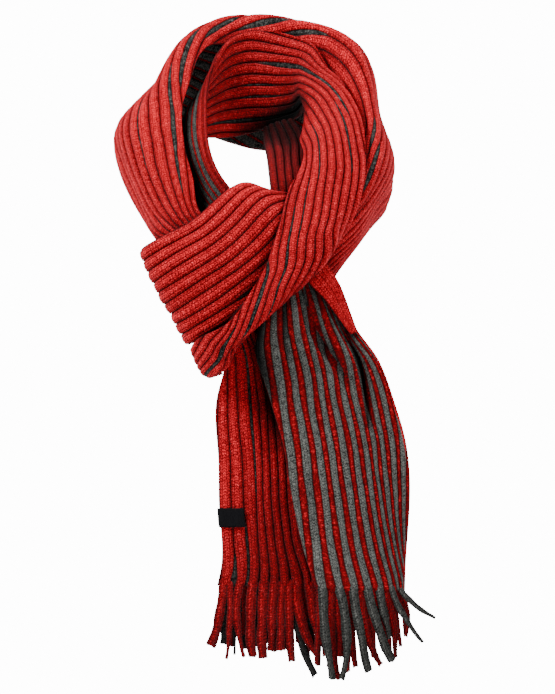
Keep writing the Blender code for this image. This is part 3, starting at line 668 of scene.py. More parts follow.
class Rows:
    """The rows of points that a sheet is laid in, one after another along its stretch of lane."""

    def __init__(self, name, step):
        self.name = name
        self.sheet = SHEETS[name]
        start, end = lane_span(self.sheet)
        self.places = np.linspace(start, end, int((end - start) / step) + 1)
        self.along = self.places - start
        self.seed = list(SHEETS).index(name) + 1
        self.drift = gentle(self.along, DRIFTS.get(name, ((0, 0), (1, 0))))
        self.lines = self.tabled_lines() if name in CHANNELS else None

    def wander(self, number, reach):
        """A slow uneven drift along the sheet, between -1 and 1, its own for each number."""
        chance = random.Random(self.seed * 1000 + number)
        total = np.zeros(len(self.places))
        for part in (1.0, 0.6, 0.4):
            phase = chance.uniform(0, 2 * math.pi)
            total += part * np.sin(self.places / (reach * part) * 2 * math.pi + phase)
        return total / 2

    def creased(self, across):
        """How deep the creases sink the sheet at each rib across, and how much light their painted shade
        leaves there.
        """
        depth, light = np.zeros(across.shape), np.ones(across.shape)
        for crease in CREASES_AND_SHADES.get(self.name, ()):
            run = np.clip((self.along - crease.start) / (crease.end - crease.start), 0, 1)
            centre = crease.rib_at_start + (crease.rib_at_end - crease.rib_at_start) * run
            # A broad crease has steep sides and a level floor.
            steep = 2 if crease.width < 2 else 4
            trough = np.exp(-(((across - centre[:, None]) / crease.width) ** steep))
            here = np.sin(math.pi * run)[:, None] ** 0.7 * trough
            depth += crease.depth * here
            # Painted shade: each crease darkens the colour by its shade; with depth 0 it is painted shade
            # alone.
            light *= 1 - crease.shade * here
        return depth, light

    def surface(self, shares):
        """Points and outward normals of the sheet's middle surface, with its folds and creases, at
        shares that may meet each other: they are read from an even grid."""
        lane = LANES[self.sheet.lane]
        even = np.linspace(0, 1, EVEN_POINTS)
        grid = np.tile(even, (len(self.places), 1))
        points, out = middle_surface(lane, self.places, grid)
        depth = self.creased(grid * self.sheet.ribs)[0]
        points = points - out * self.sheet.side * depth[:, :, None]
        layers = (points, outward(lane, points))
        points, out = ([points_at(at, even, row) for at, row in zip(shares, layer)] for layer in layers)
        return np.array(points), unit(np.array(out))

    def tabled_lines(self):
        """The lines of the sheet's channels as its table has them, three more at either side, by number."""
        marks, table = zip(*CHANNELS[self.name])
        lines = np.array([gentle(self.along, list(zip(marks, line))) for line in zip(*table)])
        first, last = lines[0] - lines[1] + lines[0], 2 * lines[-1] - lines[-2]
        lines = np.concatenate([[first - 2, first - 1, first], lines, [last, last + 1, last + 2]])
        return np.arange(-2, len(lines) - 2), lines.T

    def line(self, number):
        """Where a channel lies along the sheet, in ribs from its one edge. A half number lies midway."""
        if self.lines:
            numbers, rows = self.lines
            return np.array([np.interp(number, numbers, row) for row in rows])
        sway = CHANNEL_SWAY * self.wander(math.floor(number), SWAY_LENGTH)
        at_edge = number in (0, self.sheet.ribs)
        return number + self.drift + (0 if at_edge else sway)

    def opening(self, channel, right):
        """The half width of a channel along the sheet, as a share of a rib's pitch, and how open it is."""
        sheet = self.sheet
        gap = sheet.gap if right else sheet.back_gap
        half = gap * (1 + WIDTH_SWAY * self.wander(channel + 40, WIDTH_LENGTH))
        if "hem" in (sheet.start, sheet.end):
            from_hem = self.along if sheet.start == "hem" else self.along[-1] - self.along
            # Each channel narrows over its own length above the hem, from 9 to 27 mm.
            half = half + HEM_SPREAD * np.clip(1 - from_hem / (18 + 9 * math.sin(2.1 * channel)), 0, 1)
        opened = 0 * self.places + (0 if gap < OPEN_GAP else 1)
        for stripe in STRIPES.get(self.name, ()) if right else ():
            if stripe.channel == channel:
                run = np.clip((self.along - stripe.start) / (stripe.end - stripe.start), 0, 1)
                uneven = 1 + STRIPE_SWAY * self.wander(channel, STRIPE_LENGTH)
                rise = np.sin(math.pi * run) ** 0.6 * uneven
                half = half + np.maximum(stripe.half_width - gap, 0) * rise
                opened = np.maximum(opened, np.clip(rise * 3, 0, 1))
        return half, opened

    def rib_columns(self, right):
        """For every row of points of one face: where each lies, in ribs from the sheet's one edge, where
        it lies in the knit's own count of ribs, how far it is from the middle of its rib (0.5 at the
        rib's edge and 1 in the middle of the channel), and how open its channel is.

        A rib's channels lie at first plus a whole number, so that -0.5 puts a rib's middle on an edge."""
        first, marks = (0, RIB_POINTS) if right else (-0.5, PLAIN_RIB_POINTS)
        ribs, drift = self.sheet.ribs, self.drift
        low, high = math.floor(-drift.max() - first) - 1, math.ceil(ribs - drift.min() - first) + 1
        lines = {k: self.line(first + k) for k in range(low, high + 1)}
        openings = {k: self.opening(k, right) for k in lines}
        parts = []
        for k in range(low, high):
            (left_half, left_open), (right_half, right_open) = openings[k], openings[k + 1]
            pitch = lines[k + 1] - lines[k]
            level = 0 * pitch
            parts.append((lines[k], k + level, 1 + level, left_open))
            parts.append((lines[k] + left_half / 2 * pitch, k + level, 0.75 + level, left_open))
            for mark in marks:
                across = left_half + mark * (1 - left_half - right_half)
                third = np.interp(mark, (0, CREASE, 1 - CREASE, 1), (0, 1 / 3, 2 / 3, 1))
                off_middle, opened = abs(mark - 0.5) + level, left_open if mark < 0.5 else right_open
                parts.append((lines[k] + across * pitch, k + third + level, off_middle, opened))
            parts.append((lines[k + 1] - right_half / 2 * pitch, k + 1 + level, 0.75 + level, right_open))
        grid = np.array(parts).transpose(1, 2, 0)
        keep = np.flatnonzero(((grid[0] > 0) & (grid[0] < ribs)).any(axis=0))
        grid = grid[:, :, keep[0] - 1 : keep[-1] + 2]
        columns = np.clip(grid[0], 0, ribs)
        read = [[np.interp(*row) for row in zip(columns, grid[0], layer)] for layer in grid[1:]]
        return columns, *map(np.array, read)

    def face(self, knit, cloth, right):
        """One face of the sheet at the floor of its channels, with its point attributes."""
        sheet = self.sheet
        columns, count, off_middle, opened = self.rib_columns(right)
        if self.name == "turned_edge":
            # It is folded hard: its channels are closed and its ribs nearly level.
            off_middle = np.minimum(off_middle, 0.5) * 0.6
        shares = columns / sheet.ribs
        middle, out = self.surface(shares)
        side = sheet.side * (1 if right else -1)
        # The face's painted light: its open space, no less than its least, so that its colour is darkened as
        # painted shade where it is shut in.
        sky = sheet.least_sky + (1 - sheet.least_sky) * open_space(cloth, sheet, side, self.places, shares)
        pitch = np.linalg.norm(np.diff(middle, axis=1), axis=2).sum(axis=1) / sheet.ribs
        height, floor = (knit.rib_height, knit.face_floor) if right else (knit.back_height, knit.back_floor)
        tall = np.minimum(height / MM, TALLEST_RIB * pitch)
        rib, channel = (sheet.face, sheet.back) if right else (sheet.back, sheet.face)
        low, high = RED_RIMS.get((self.name, right), (0, 0))
        rim = (columns > low) & (columns < high)
        layers = {
            "rise": out * side * tall[:, None, None] * MM,
            "off_middle": off_middle,
            "opened": opened,
            "channel_rise": opened * (sheet.channel_rise if right else BACK_CHANNEL_RISE),
            # Painted shade from the open space, times the creases' painted shade on the right side.
            "sky": sky * (self.creased(columns)[1] if right else BACK_PAINTED_SKY),
            "creases": 0 * columns + (sheet.creases if right else 0),
            "face_red": np.where(rim, 1, rib),
            "channel_red": np.where(rim, 1, (1 - opened) * rib + opened * channel),
        }
        return Face(middle + out * side * (floor / MM), shares, count + (0 if right else 0.5), layers)


def zip_rows(front, back, front_shares, back_shares):
    """Triangles that close the end between a row of outer points and a row of inner ones."""
    faces = []
    i = j = 0
    while i < len(front) - 1 or j < len(back) - 1:
        if j == len(back) - 1 or (i < len(front) - 1 and front_shares[i + 1] <= back_shares[j + 1]):
            faces.append((front[i], front[i + 1], back[j]))
            i += 1
        else:
            faces.append((front[i], back[j + 1], back[j]))
            j += 1
    return faces


def add_object(name, mesh, layers):
    """Adds a mesh as an object, with its point attributes: numbers, or vectors in rows of three."""
    for layer, values in layers.items():
        kind, field = ("FLOAT_VECTOR", "vector") if values.ndim == 2 else ("FLOAT", "value")
        held = mesh.attributes.new(layer, kind, "POINT")
        held.data.foreach_set(field, values.astype(np.float32).ravel())
    obj = bpy.data.objects.new(name, mesh)
    bpy.context.collection.objects.link(obj)
    return obj


def edit_mesh(mesh, edit):
    """Changes a mesh by what edit does to its faces and points."""
    shape = bmesh.new()
    shape.from_mesh(mesh)
    edit(shape)
    shape.to_mesh(mesh)
    shape.free()


def add_closed(name, points, faces, layers, uv):
    """A closed mesh of points in millimetres, with point attributes and a UV map, its faces pointing out."""
    mesh = bpy.data.meshes.new(name)
    mesh.from_pydata((points * MM).tolist(), [], faces)
    edit_mesh(mesh, lambda shape: bmesh.ops.recalc_face_normals(shape, faces=shape.faces))
    obj = add_object(name, mesh, layers)
    corner = np.empty(len(mesh.loops), np.int32)
    mesh.loops.foreach_get("vertex_index", corner)
    mesh.uv_layers.new(name="UVMap").data.foreach_set("uv", uv[corner].astype(np.float32).ravel())
    # Ribs that have rolled away over an edge leave their points on it: they become one.
    edit_mesh(mesh, lambda shape: bmesh.ops.remove_doubles(shape, verts=shape.verts, dist=SAME_PLACE))
    mesh.polygons.foreach_set("use_smooth", [True] * len(mesh.polygons))
    mesh.update()
    return obj


def lay_sheet(name, knit, cloth):
    """Both faces of a sheet joined round its edges, with the attributes that its ribs are raised by,
    and its width and length in metres."""
    rows = Rows(name, knit.row_step / MM)
    front, rear = rows.face(knit, cloth, True), rows.face(knit, cloth, False)
    count = len(rows.places)
    rims = []
    for edge, inner in ((0, EDGE_SHARE), (1, 1 - EDGE_SHARE)):
        rim = rows.surface(np.tile((inner, edge), (count, 1)))[0]
        away = unit(rim[:, 1] - rim[:, 0])
        rims.append((front.points[:, -edge] + rear.points[:, -edge]) / 2 + away * knit.edge_roll / MM)
    points = np.concatenate([front.points.reshape(-1, 3), rear.points.reshape(-1, 3), *rims])
    f = np.arange(front.shares.size).reshape(count, -1)
    b = np.arange(rear.shares.size).reshape(count, -1) + f.size
    one_rim = np.arange(count) + f.size + b.size
    sides = ((0, one_rim), (-1, one_rim + count))
    faces = quads(f) + quads(b)
    for edge, rim in sides:
        faces += bridge(f[:, edge], rim) + bridge(b[:, edge], rim)
    for end in (0, -1):
        faces += zip_rows(f[end].tolist(), b[end].tolist(), front.shares[end], rear.shares[end])
        faces += [(int(f[end, edge]), int(b[end, edge]), int(rim[end])) for edge, rim in sides]
    layers = {}
    for layer, values in front.layers.items():
        other = rear.layers[layer]
        if layer in RIM_LAYERS:
            rim = np.full((2 * count, *values.shape[2:]), RIM_LAYERS[layer])
        else:
            rim = np.concatenate([(values[:, edge] + other[:, edge]) / 2 for edge in (0, -1)])
        both = [part.reshape(-1, *values.shape[2:]) for part in (values, other)]
        layers[layer] = np.concatenate([*both, rim])
    run = (rows.places / (knit.stitch_length / MM))[:, None]
    stitches = [np.dstack([face.count, run + 0 * face.count]).reshape(-1, 2) for face in (front, rear)]
    rim_stitches = np.stack([np.repeat((0.0, rows.sheet.ribs), count), np.tile(run[:, 0], 2)], axis=-1)
    obj = add_closed(name, points, faces, layers, np.concatenate([*stitches, rim_stitches]))
    steps = [np.linalg.norm(np.diff(front.points, axis=axis), axis=2).sum(axis=axis) for axis in (1, 0)]
    return obj, [step.mean() * MM for step in steps]


def operator_for(operation, swapped=False):
    """A Python operator that adds a Math node to the tree of the number it works on."""

    def act(number, other):
        values = (other, number) if swapped else (number, other)
        return number.make.math(operation, *values)

    return act


class Number:
    """A socket of a tree, in sums that add Math nodes to the tree."""

    def __init__(self, make, socket):
        self.make, self.socket = make, socket

    def clamped(self):
        """Keeps the sum that gave this number between 0 and 1."""
        self.socket.node.use_clamp = True
        return self

    __add__ = operator_for("ADD")
    __sub__ = operator_for("SUBTRACT")
    __rsub__ = operator_for("SUBTRACT", swapped=True)
    __mul__ = operator_for("MULTIPLY")
    __truediv__ = operator_for("DIVIDE")
    __pow__ = operator_for("POWER")


class Tree:
    """Adds nodes to a tree and links them."""

    def __init__(self, tree):
        self.tree = tree

    def put(self, node, key, value):
        """Sets an input, which key names with _ for a space, or counts as i0, i1 and so on."""
        counted = key[0] == "i" and key[1:].isdigit()
        socket = node.inputs[int(key[1:]) if counted else key.replace("_", " ")]
        if isinstance(value, Number):
            value = value.socket
        if isinstance(value, bpy.types.NodeSocket):
            self.tree.links.new(value, socket)
        else:
            socket.default_value = value

    def node(self, kind, settings=None, **inputs):
        """Adds a node, with its settings and inputs."""
        node = self.tree.nodes.new(kind)
        for key, value in (settings or {}).items():
            setattr(node, key, value)
        for key, value in inputs.items():
            self.put(node, key, value)
        return node

    def add(self, kind, settings=None, output=0, **inputs):
        """Adds a node and gives one of its outputs, the first unless another is named."""
        return Number(self, self.node(kind, settings, **inputs).outputs[output])

    def math(self, operation, *values):
        """Adds a Math node and gives its result."""
        inputs = {f"i{k}": value for k, value in enumerate(values)}
        return self.add("ShaderNodeMath", {"operation": operation}, **inputs)

    def split(self, vector):
        """The first two parts of a vector."""
        parts = self.node("ShaderNodeSeparateXYZ", Vector=vector).outputs
        return Number(self, parts[0]), Number(self, parts[1])

    def noise(self, scale, detail, **inputs):
        """Soft noise between 0 and 1, mostly near a half."""
        return self.add("ShaderNodeTexNoise", Scale=scale, Detail=detail, **inputs)

    def ramp(self, value, low, high, bottom=0.0, top=1.0, kind="LINEAR"):
        """Takes a value from low and high to bottom and top, level beyond them."""
        limits = {"From Min": low, "From Max": high, "To Min": bottom, "To Max": top}
        return self.add("ShaderNodeMapRange", {"interpolation_type": kind}, Value=value, **limits)

    def blend(self, share, one, other, kind="FLOAT", mode="MIX"):
        """From one number or colour to the other by a share."""
        first, output = {"FLOAT": (2, 0), "RGBA": (6, 2)}[kind]
        ends = {f"i{first}": one, f"i{first + 1}": other}
        return self.add("ShaderNodeMix", {"data_type": kind, "blend_type": mode}, output, i0=share, **ends)

    def named(self, name, kind="FLOAT"):
        """Reads a point attribute in a Geometry Nodes tree."""
        return self.add("GeometryNodeInputNamedAttribute", {"data_type": kind}, "Attribute", Name=name)

    def scaled(self, vector, scale):
        """A vector times a number."""
        return self.add("ShaderNodeVectorMath", {"operation": "SCALE"}, i0=vector, Scale=scale)

    def capture(self, geometry, **numbers):
        """Holds numbers on a curve's points: gives the curve, then the numbers."""
        node = self.node("GeometryNodeCaptureAttribute", {"domain": "POINT"}, Geometry=geometry)
        for name in numbers:
            node.capture_items.new("FLOAT", name)
        for k, number in enumerate(numbers.values()):
            self.put(node, f"i{k + 1}", number)
        return [Number(self, socket) for socket in node.outputs[: len(numbers) + 1]]

    def store(self, geometry, name, value, kind, domain):
        """Stores a named attribute on the geometry."""
        inputs = {"Geometry": geometry, "Name": name, "Value": value}
        return self.add("GeometryNodeStoreNamedAttribute", {"data_type": kind, "domain": domain}, **inputs)


def raise_ribs(make, given):
    """Raises each rib out of its channels by its own rise, a little unevenly."""
    off_middle = make.named("off_middle")
    round_over = (1.0 - make.ramp(0.5 - off_middle, 0.0, 0.36)) ** 2.4
    crown = (1.0 - round_over) ** 0.8
    inwards = make.math("MAXIMUM", off_middle - 0.5, 0.0) * 2.0
    dip = inwards**3.0 * given["Channel dip"] * (1.0 - make.named("opened"))
    dip = dip - make.math("SINE", inwards * (math.pi / 2)) * make.named("channel_rise")
    from_crease = make.math("ABSOLUTE", off_middle - (0.5 - CREASE)) / CREASE_HALF_WIDTH
    crease = make.math("MAXIMUM", 1.0 - from_crease, 0.0) * make.named("creases") * given["Crease depth"]
    swing = (make.noise(given["Patch size"], 2.0) - 0.5) * given["Unevenness"]
    height = (crown - dip - crease) * (swing * 2.0 + 1.0)
    lift = make.scaled(make.named("rise", "FLOAT_VECTOR"), height)
    return make.add("GeometryNodeSetPosition", Geometry=given["Geometry"], Offset=lift)


def sweep_strands(make, given):
    """Sweeps a flattened section along each strand's line, with fuzzy sides and a ragged cut end."""
    lines = make.add("GeometryNodeMeshToCurve", Mesh=given["Geometry"])
    facing = make.named("facing", "FLOAT_VECTOR")
    faced = make.add("GeometryNodeSetCurveNormal", {"mode": "FREE"}, Curve=lines, Normal=facing)
    spline = make.node("GeometryNodeSplineParameter").outputs
    line, down, run = make.capture(faced, down=spline["Factor"], length=spline["Length"])
    ring = make.add("GeometryNodeCurvePrimitiveCircle", Resolution=12, Radius=1.0)
    flat = make.add("ShaderNodeCombineXYZ", X=given["Flatness"], Y=1.0, Z=1.0)
    section = make.add("GeometryNodeTransform", Geometry=ring, Scale=flat)
    section, turn = make.capture(section, round=make.add("GeometryNodeSplineParameter", output="Factor"))
    swept = make.add(
        "GeometryNodeCurveToMesh",
        Curve=line,
        Profile_Curve=section,
        Fill_Caps=True,
        Scale=make.named("half_width"),
    )
    fuzz = (make.noise(420.0, 2.0) - 0.5) * (given["Fuzz"] * 3.0)
    bulge = make.scaled(make.add("GeometryNodeInputNormal"), fuzz)
    tear = (make.noise(260.0, 1.0) - 0.5) * (down**30.0 * given["Ragged end"] * 4.0)
    moved = make.add("GeometryNodeSetPosition", Geometry=swept, Offset=bulge)
    up = make.add("ShaderNodeCombineXYZ", Z=tear)
    torn = make.add("GeometryNodeSetPosition", Geometry=moved, Offset=up)
    place = make.add("ShaderNodeCombineXYZ", X=turn * STITCHES_ROUND, Y=run * (1 / STRAND_STITCH))
    mapped = make.store(torn, "UVMap", place, "FLOAT2", "CORNER")
    # Painted shade: a strand's sides read as a rib's foot and are darkened.
    side = make.math("ABSOLUTE", make.math("SINE", turn * (2 * math.pi)))
    shaded = make.store(mapped, "off_middle", side * STRAND_SIDE, "FLOAT", "POINT")
    return make.add("GeometryNodeSetShadeSmooth", Geometry=shaded)


def new_tree(name, fill, numbers, material):
    """A Geometry Nodes tree that makes of its geometry what fill does, with the numbers as its inputs."""
    tree = bpy.data.node_groups.new(name, "GeometryNodeTree")
    for way in ("INPUT", "OUTPUT"):
        tree.interface.new_socket("Geometry", in_out=way, socket_type="NodeSocketGeometry")
    for number, value in numbers.items():
        socket = tree.interface.new_socket(number, in_out="INPUT", socket_type="NodeSocketFloat")
        socket.default_value = value
    make = Tree(tree)
    inputs = make.node("NodeGroupInput").outputs
    shaped = fill(make, {key: Number(make, inputs[key]) for key in ("Geometry", *numbers)})
    whole = make.add("GeometryNodeRealizeInstances", Geometry=shaped)
    dressed = make.add("GeometryNodeSetMaterial", Geometry=whole, Material=material)
    make.node("NodeGroupOutput", Geometry=dressed)
    return tree


def run_tree(obj, name, fill, numbers, material):
    """Runs a tree on an object and keeps its result as a plain mesh. The first run makes the tree."""
    tree = bpy.data.node_groups.get(name) or new_tree(name, fill, numbers, material)
    modifier = obj.modifiers.new(name, "NODES")
    modifier.node_group = tree
    for item in tree.interface.items_tree:
        if item.in_out == "INPUT" and item.name in numbers:
            modifier[item.identifier] = numbers[item.name]
    graph = bpy.context.evaluated_depsgraph_get()
    done = obj.evaluated_get(graph)
    mesh = bpy.data.meshes.new_from_object(done, preserve_all_data_layers=True, depsgraph=graph)
    obj.modifiers.remove(modifier)
    old = obj.data
    obj.data = mesh
    mesh.name = obj.name
    bpy.data.meshes.remove(old)


def shared_material(name, fill, colours):
    """The named material. Its first use makes it, with the inputs that fill gives for its shader."""
    material = bpy.data.materials.get(name)
    if material is None:
        material = bpy.data.materials.new(name)
        material.use_nodes = True
        material.node_tree.nodes.clear()
        make = Tree(material.node_tree)
        shader = make.node("ShaderNodeBsdfPrincipled")
        for key, value in fill(make, colours).items():
            make.put(shader, key, value)
        make.node("ShaderNodeOutputMaterial", Surface=shader.outputs[0])
    return material


def opaque(colour, brighter=1):
    """A colour with its alpha, made some times as bright."""
    return (*(brighter * part for part in colour), 1)


def woven_tape(make, colours):
    """Plain black woven tape: fine threads across and along."""
    threads = make.split(make.add("ShaderNodeUVMap", {"uv_map": "UVMap"}))
    weave = make.math("MULTIPLY", *(make.math("SINE", part * (2 * math.pi)) for part in threads))
    return {
        "Base Color": make.blend(weave * 0.5 + 0.5, opaque(colours.label), opaque(colours.label, 3), "RGBA"),
        "Normal": make.add("ShaderNodeBump", Height=weave, Strength=0.6, Distance=0.0001),
        "Roughness": 0.75,
        "Specular IOR Level": 0.05,
    }


def two_yarns(make, colours):
    """Two yarns in stocking-stitch columns: the ribs' yarn on top, the other yarn in open channels, with
    painted light and painted shade in its colour.
    """
    run_across, run_along = make.split(make.add("ShaderNodeUVMap", {"uv_map": "UVMap"}))
    names = ("off_middle", "face_red", "channel_red", "opened", "creases", "sky")
    held = [make.add("ShaderNodeAttribute", {"attribute_name": name}, "Fac") for name in names]
    off_middle, face_red, channel_red, opened, creases, sky = held
    place = make.add("ShaderNodeTexCoord", output="Object")

    # The stitches: a small V in each column, its two legs meeting at the foot, each column out of
    # step with the next.
    wavy = make.add("ShaderNodeTexNoise", output="Color", Vector=place, Scale=190.0, Detail=1.0)
    wave = make.node("ShaderNodeSeparateColor", Color=wavy).outputs
    sway, slip = Number(make, wave[0]) - 0.5, Number(make, wave[1]) - 0.5
    across = run_across * 3.0 + sway * 0.5
    off_column = make.math("ABSOLUTE", make.math("FRACT", across) - 0.5)
    column = make.math("FLOOR", across)
    climb = run_along + off_column * 1.1 + column * 0.37 + slip * 1.3
    along_leg = make.math("SINE", make.math("FRACT", climb) * math.pi)
    leg = 1.0 - make.math("ABSOLUTE", (off_column - 0.22) * 3.6) ** 2.4
    stitch = along_leg**0.9 * make.math("MAXIMUM", leg, 0.0)

    # Fibres, a tone of its own for each stitch, and slow changes from patch to patch.
    patch = make.noise(24.0, 2.0, Vector=place)
    cell = make.add("ShaderNodeCombineXYZ", X=column, Y=make.math("FLOOR", climb))
    tone = make.add("ShaderNodeTexWhiteNoise", {"noise_dimensions": "2D"}, Vector=cell)
    speckle = make.noise(900.0, 1.0, Vector=place, Roughness=0.6)
    grain = make.ramp(speckle, 0.40, 0.60)
    fluff = (make.noise(400.0, 1.0, Vector=place) - 0.5) * 1.1

    # Red yarn, from its nooks to its lit tops: painted shade in the stitches' nooks and painted light
    # on their tops, with tones of its own for fibres, stitches and patches.
    lit = stitch * 0.55 + tone * 0.22 + (grain - 0.5) * 0.62 + fluff + (patch - 0.5) * 0.35
    red = make.blend(lit.clamped(), opaque(colours.red_deep), opaque(colours.red), "RGBA")
    # Pale fibres where the stitch tops are lit: random pale fibres with a painted highlight on them.
    pale = make.ramp(stitch * (tone * grain), 0.42, 0.95, 0.0, 0.42)
    red = make.blend(pale, red, opaque(colours.red_pale), "RGBA")
    # Charcoal heather: dark and pale fibres mixed, with painted shade in the stitches' nooks and
    # painted light on their tops.
    heather = make.ramp(speckle, 0.43, 0.57) * 0.52 + tone * 0.36 + fluff + (stitch - 0.25) * 0.6
    grey = make.blend(heather.clamped(), opaque(colours.charcoal_deep), opaque(colours.charcoal), "RGBA")
    # Which yarn shows: the ribs' own up to the channel's edge.
    on_rib = make.ramp(off_middle + (speckle - 0.5) * 0.16, 0.47, 0.53, 1.0, 0.0, "SMOOTHSTEP")
    yarn = make.blend(make.blend(on_rib, channel_red, face_red), grey, red, "RGBA")

    # Painted shade: dark in the stitches' corners, in the creases between stitch columns, at the
    # ribs' feet, in channels, and wherever the cloth is shut in or creased, by its painted light.
    rib_foot = make.ramp(off_middle, 0.16, 0.50, 1.0, 0.39, "SMOOTHSTEP")
    closed_shade = rib_foot * make.ramp(off_middle, 0.5, 0.8, 1.0, 0.35)
    open_foot = make.ramp(off_middle, 0.38, 0.50, 1.0, 0.34)
    open_shade = open_foot * make.ramp(off_middle, 0.5, 0.85, 1.0, make.blend(face_red, 2.5, 1.9))
    shade = make.blend(opened, closed_shade, open_shade) * make.ramp(sky, 0.10, 0.95) ** 1.7
    nook = make.ramp(stitch, 0.0, 0.5, 0.56, 1.0)
    dim = shade * nook * (1.0 - make.ramp(off_column, 0.36, 0.5) * creases * 0.45)
    return {
        "Base Color": make.blend(1.0, yarn, dim, "RGBA", "MULTIPLY"),
        "Normal": make.add("ShaderNodeBump", Height=stitch + grain * 0.35, Strength=1.0, Distance=0.0007),
        "Roughness": 0.9,
        "Specular IOR Level": 0.05,
        "Sheen Weight": 0.02,
        "Sheen Roughness": 0.4,
    }


def lay_fringe(name, knit):
    """The lines that a fringe's strands follow, each with its width, the way it faces and its yarn."""
    fringe = FRINGES[name]
    sheet = SHEETS[fringe.sheet]
    lane = LANES[sheet.lane]
    from_start = sheet.start == "hem"
    places = ROOT_RISES[::-1] if from_start else lane_lengths(section_points(lane))[-1] - ROOT_RISES
    shares = np.linspace(0, 1, HEM_POINTS)
    rows, outs = middle_surface(lane, places, np.tile(shares, (len(places), 1)))
    if from_start:
        rows, outs = rows[::-1], outs[::-1]
    order = np.argsort(rows[-1, :, 0])
    points, edges, half_widths, facings, reds, painted_sky_lights = [], [], [], [], [], []
    strands = [(bunch, Strand(*row)) for bunch in fringe.bunches for row in bunch.strands]
    for k, (bunch, strand) in enumerate(strands):
        share = np.interp(strand.root_x, rows[-1, order, 0], shares[order])
        ribs, out = (np.array([points_at(share, shares, row) for row in layer]) for layer in (rows, outs))
        chance = random.Random(name + str(k))
        # A front strand starts sunk in the ribs and comes out towards the hem, every other one a
        # little further. One behind starts at the floor of the reverse's channels.
        thick = FLATNESS * strand.width / 2
        proud = (knit.face_floor + knit.rib_height) / MM - thick if bunch.front else -knit.back_floor / MM
        sink = np.array([2.6, 1.2, 0.3, -0.2 - 0.3 * (k % 2)]) if bunch.front else np.zeros(len(places))
        away = chance.uniform(*(FRONT_SWING if bunch.front else BACK_SWING))
        phase, turn = chance.uniform(0, 6.28), chance.uniform(-0.3, 0.3)
        path = [(spot + outs_here * (proud - deep), 0.0) for spot, outs_here, deep in zip(ribs, out, sink)]
        root = path[-1][0]
        # A parabola through the strand's middle and tip, with a small sway on it.
        bend = 4 * strand.middle_x - 3 * strand.root_x - strand.tip_x
        for t in np.linspace(0.04, 1, STRAND_STEPS):
            forth = away * t**1.3 + 1.2 * math.sin(7 * t + phase * 2) * t
            spot = root + np.array([0, forth, (strand.tip_z - root[2]) * t])
            sideways = bend * t + (strand.tip_x - strand.root_x - bend) * t * t
            spot[0] += sideways + 0.6 * math.sin(9 * t + phase) * t
            path.append((spot, t))
        edges += [(i - 1, i) for i in range(len(points) + 1, len(points) + len(path))]
        for spot, t in path:
            points.append(spot * MM)
            narrow = np.clip((t - 0.45) / 0.5, 0, 1)
            narrow = narrow * narrow * (3 - 2 * narrow)
            full = (strand.width + (strand.tip_width - strand.width) * narrow) / 2
            half_widths.append(full * (1 + 0.08 * math.sin(13 * t + phase) * min(1, 4 * t)) * MM)
            facings.append((math.sin(turn * t * 2), -math.cos(turn * t * 2), 0.0))
            reds.append(bunch.red)
            # Painted shade: back strands darker than front ones, and each darker towards its tip.
            painted_sky_lights.append((fringe.shade if bunch.front else fringe.back_shade) * (1 - 0.22 * t))
    mesh = bpy.data.meshes.new(name)
    mesh.from_pydata(np.array(points).tolist(), edges, [])
    layers = {
        "half_width": half_widths,
        "face_red": reds,
        "channel_red": reds,
        "sky": painted_sky_lights,
        "facing": facings,
    }
    return add_object(name, mesh, {layer: np.array(values) for layer, values in layers.items()})


def finish_fringe(context, name):
    """Hangs one fringe, puts it under the root and hides the solid that it stands for."""
    obj = lay_fringe(name, context.scene.scarf_knit)
    run_tree(obj, "Fringe strands", sweep_strands, FRINGE_NUMBERS, knit_material(context))
    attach(obj, "root")
    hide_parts(FRINGES[name].solid)


def knit_material(context):
    """The one material of all the knit and the fringes."""
    return shared_material("two-tone rib knit", two_yarns, context.scene.scarf_yarn)


def finish_sheets(context, *names):
    """Lays sheets, raises their ribs, puts them under the root and hides the solids that they stand for."""
    knit = context.scene.scarf_knit
    cloth = whole_cloth()
    for name in names:
        sheet, tied = SHEETS[name], TIES[name]
        obj, size = lay_sheet(name, knit, cloth)
        numbers = {"Unevenness": knit.unevenness, **RIB_NUMBERS}
        run_tree(obj, "Raise ribs", raise_ribs, numbers, knit_material(context))
        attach(obj, "root")
        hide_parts(*tied.solids)
    return {"FINISHED"}


def lay_label(knit):
    """The label's middle surface, row by row round the left tail's left edge from the front to the
    back, with each point's place down and round it."""
    lane = LANES["outer"]
    sections = section_points(lane)
    knots = lane_lengths(sections)
    near_hem = sections[:5]
    width = np.linalg.norm(near_hem[2][-1] - near_hem[2][0])
    drops = np.linspace(LABEL_HEIGHT, 0, LABEL_ROWS)
    places = np.interp(LABEL_TOP - drops, [section[-1][2] for section in near_hem], knots[:5])
    across = np.linspace(LABEL_WIDTH, 1.2, LABEL_COLUMNS)
    row, out = middle_surface(lane, places, 1 - np.tile(across, (len(places), 1)) / width)
    front_off = (knit.face_floor + knit.rib_height * (1 + knit.unevenness)) / MM + LABEL_THICKNESS / 2 + 0.3
    back_off = (knit.back_floor + knit.back_height) / MM + LABEL_THICKNESS / 2
    away = unit(row[:, -1] - row[:, -2])
    loop = [row[:, k] + out[:, k] * (front_off + 0.15 * math.cos(k * 1.6)) for k in range(len(across))]
    for n in range(1, 8):
        turn = math.pi * n / 8
        off = (front_off + back_off) / 2 * math.cos(turn) + (front_off - back_off) / 2
        loop.append(row[:, -1] + away * (1.2 + 2.4 * math.sin(turn)) + out[:, -1] * off)
    loop += [row[:, k] - out[:, k] * back_off for k in reversed(range(len(across)))]
    middle = np.array(loop).transpose(1, 0, 2)
    return middle, drops, lengths_along(middle[0])


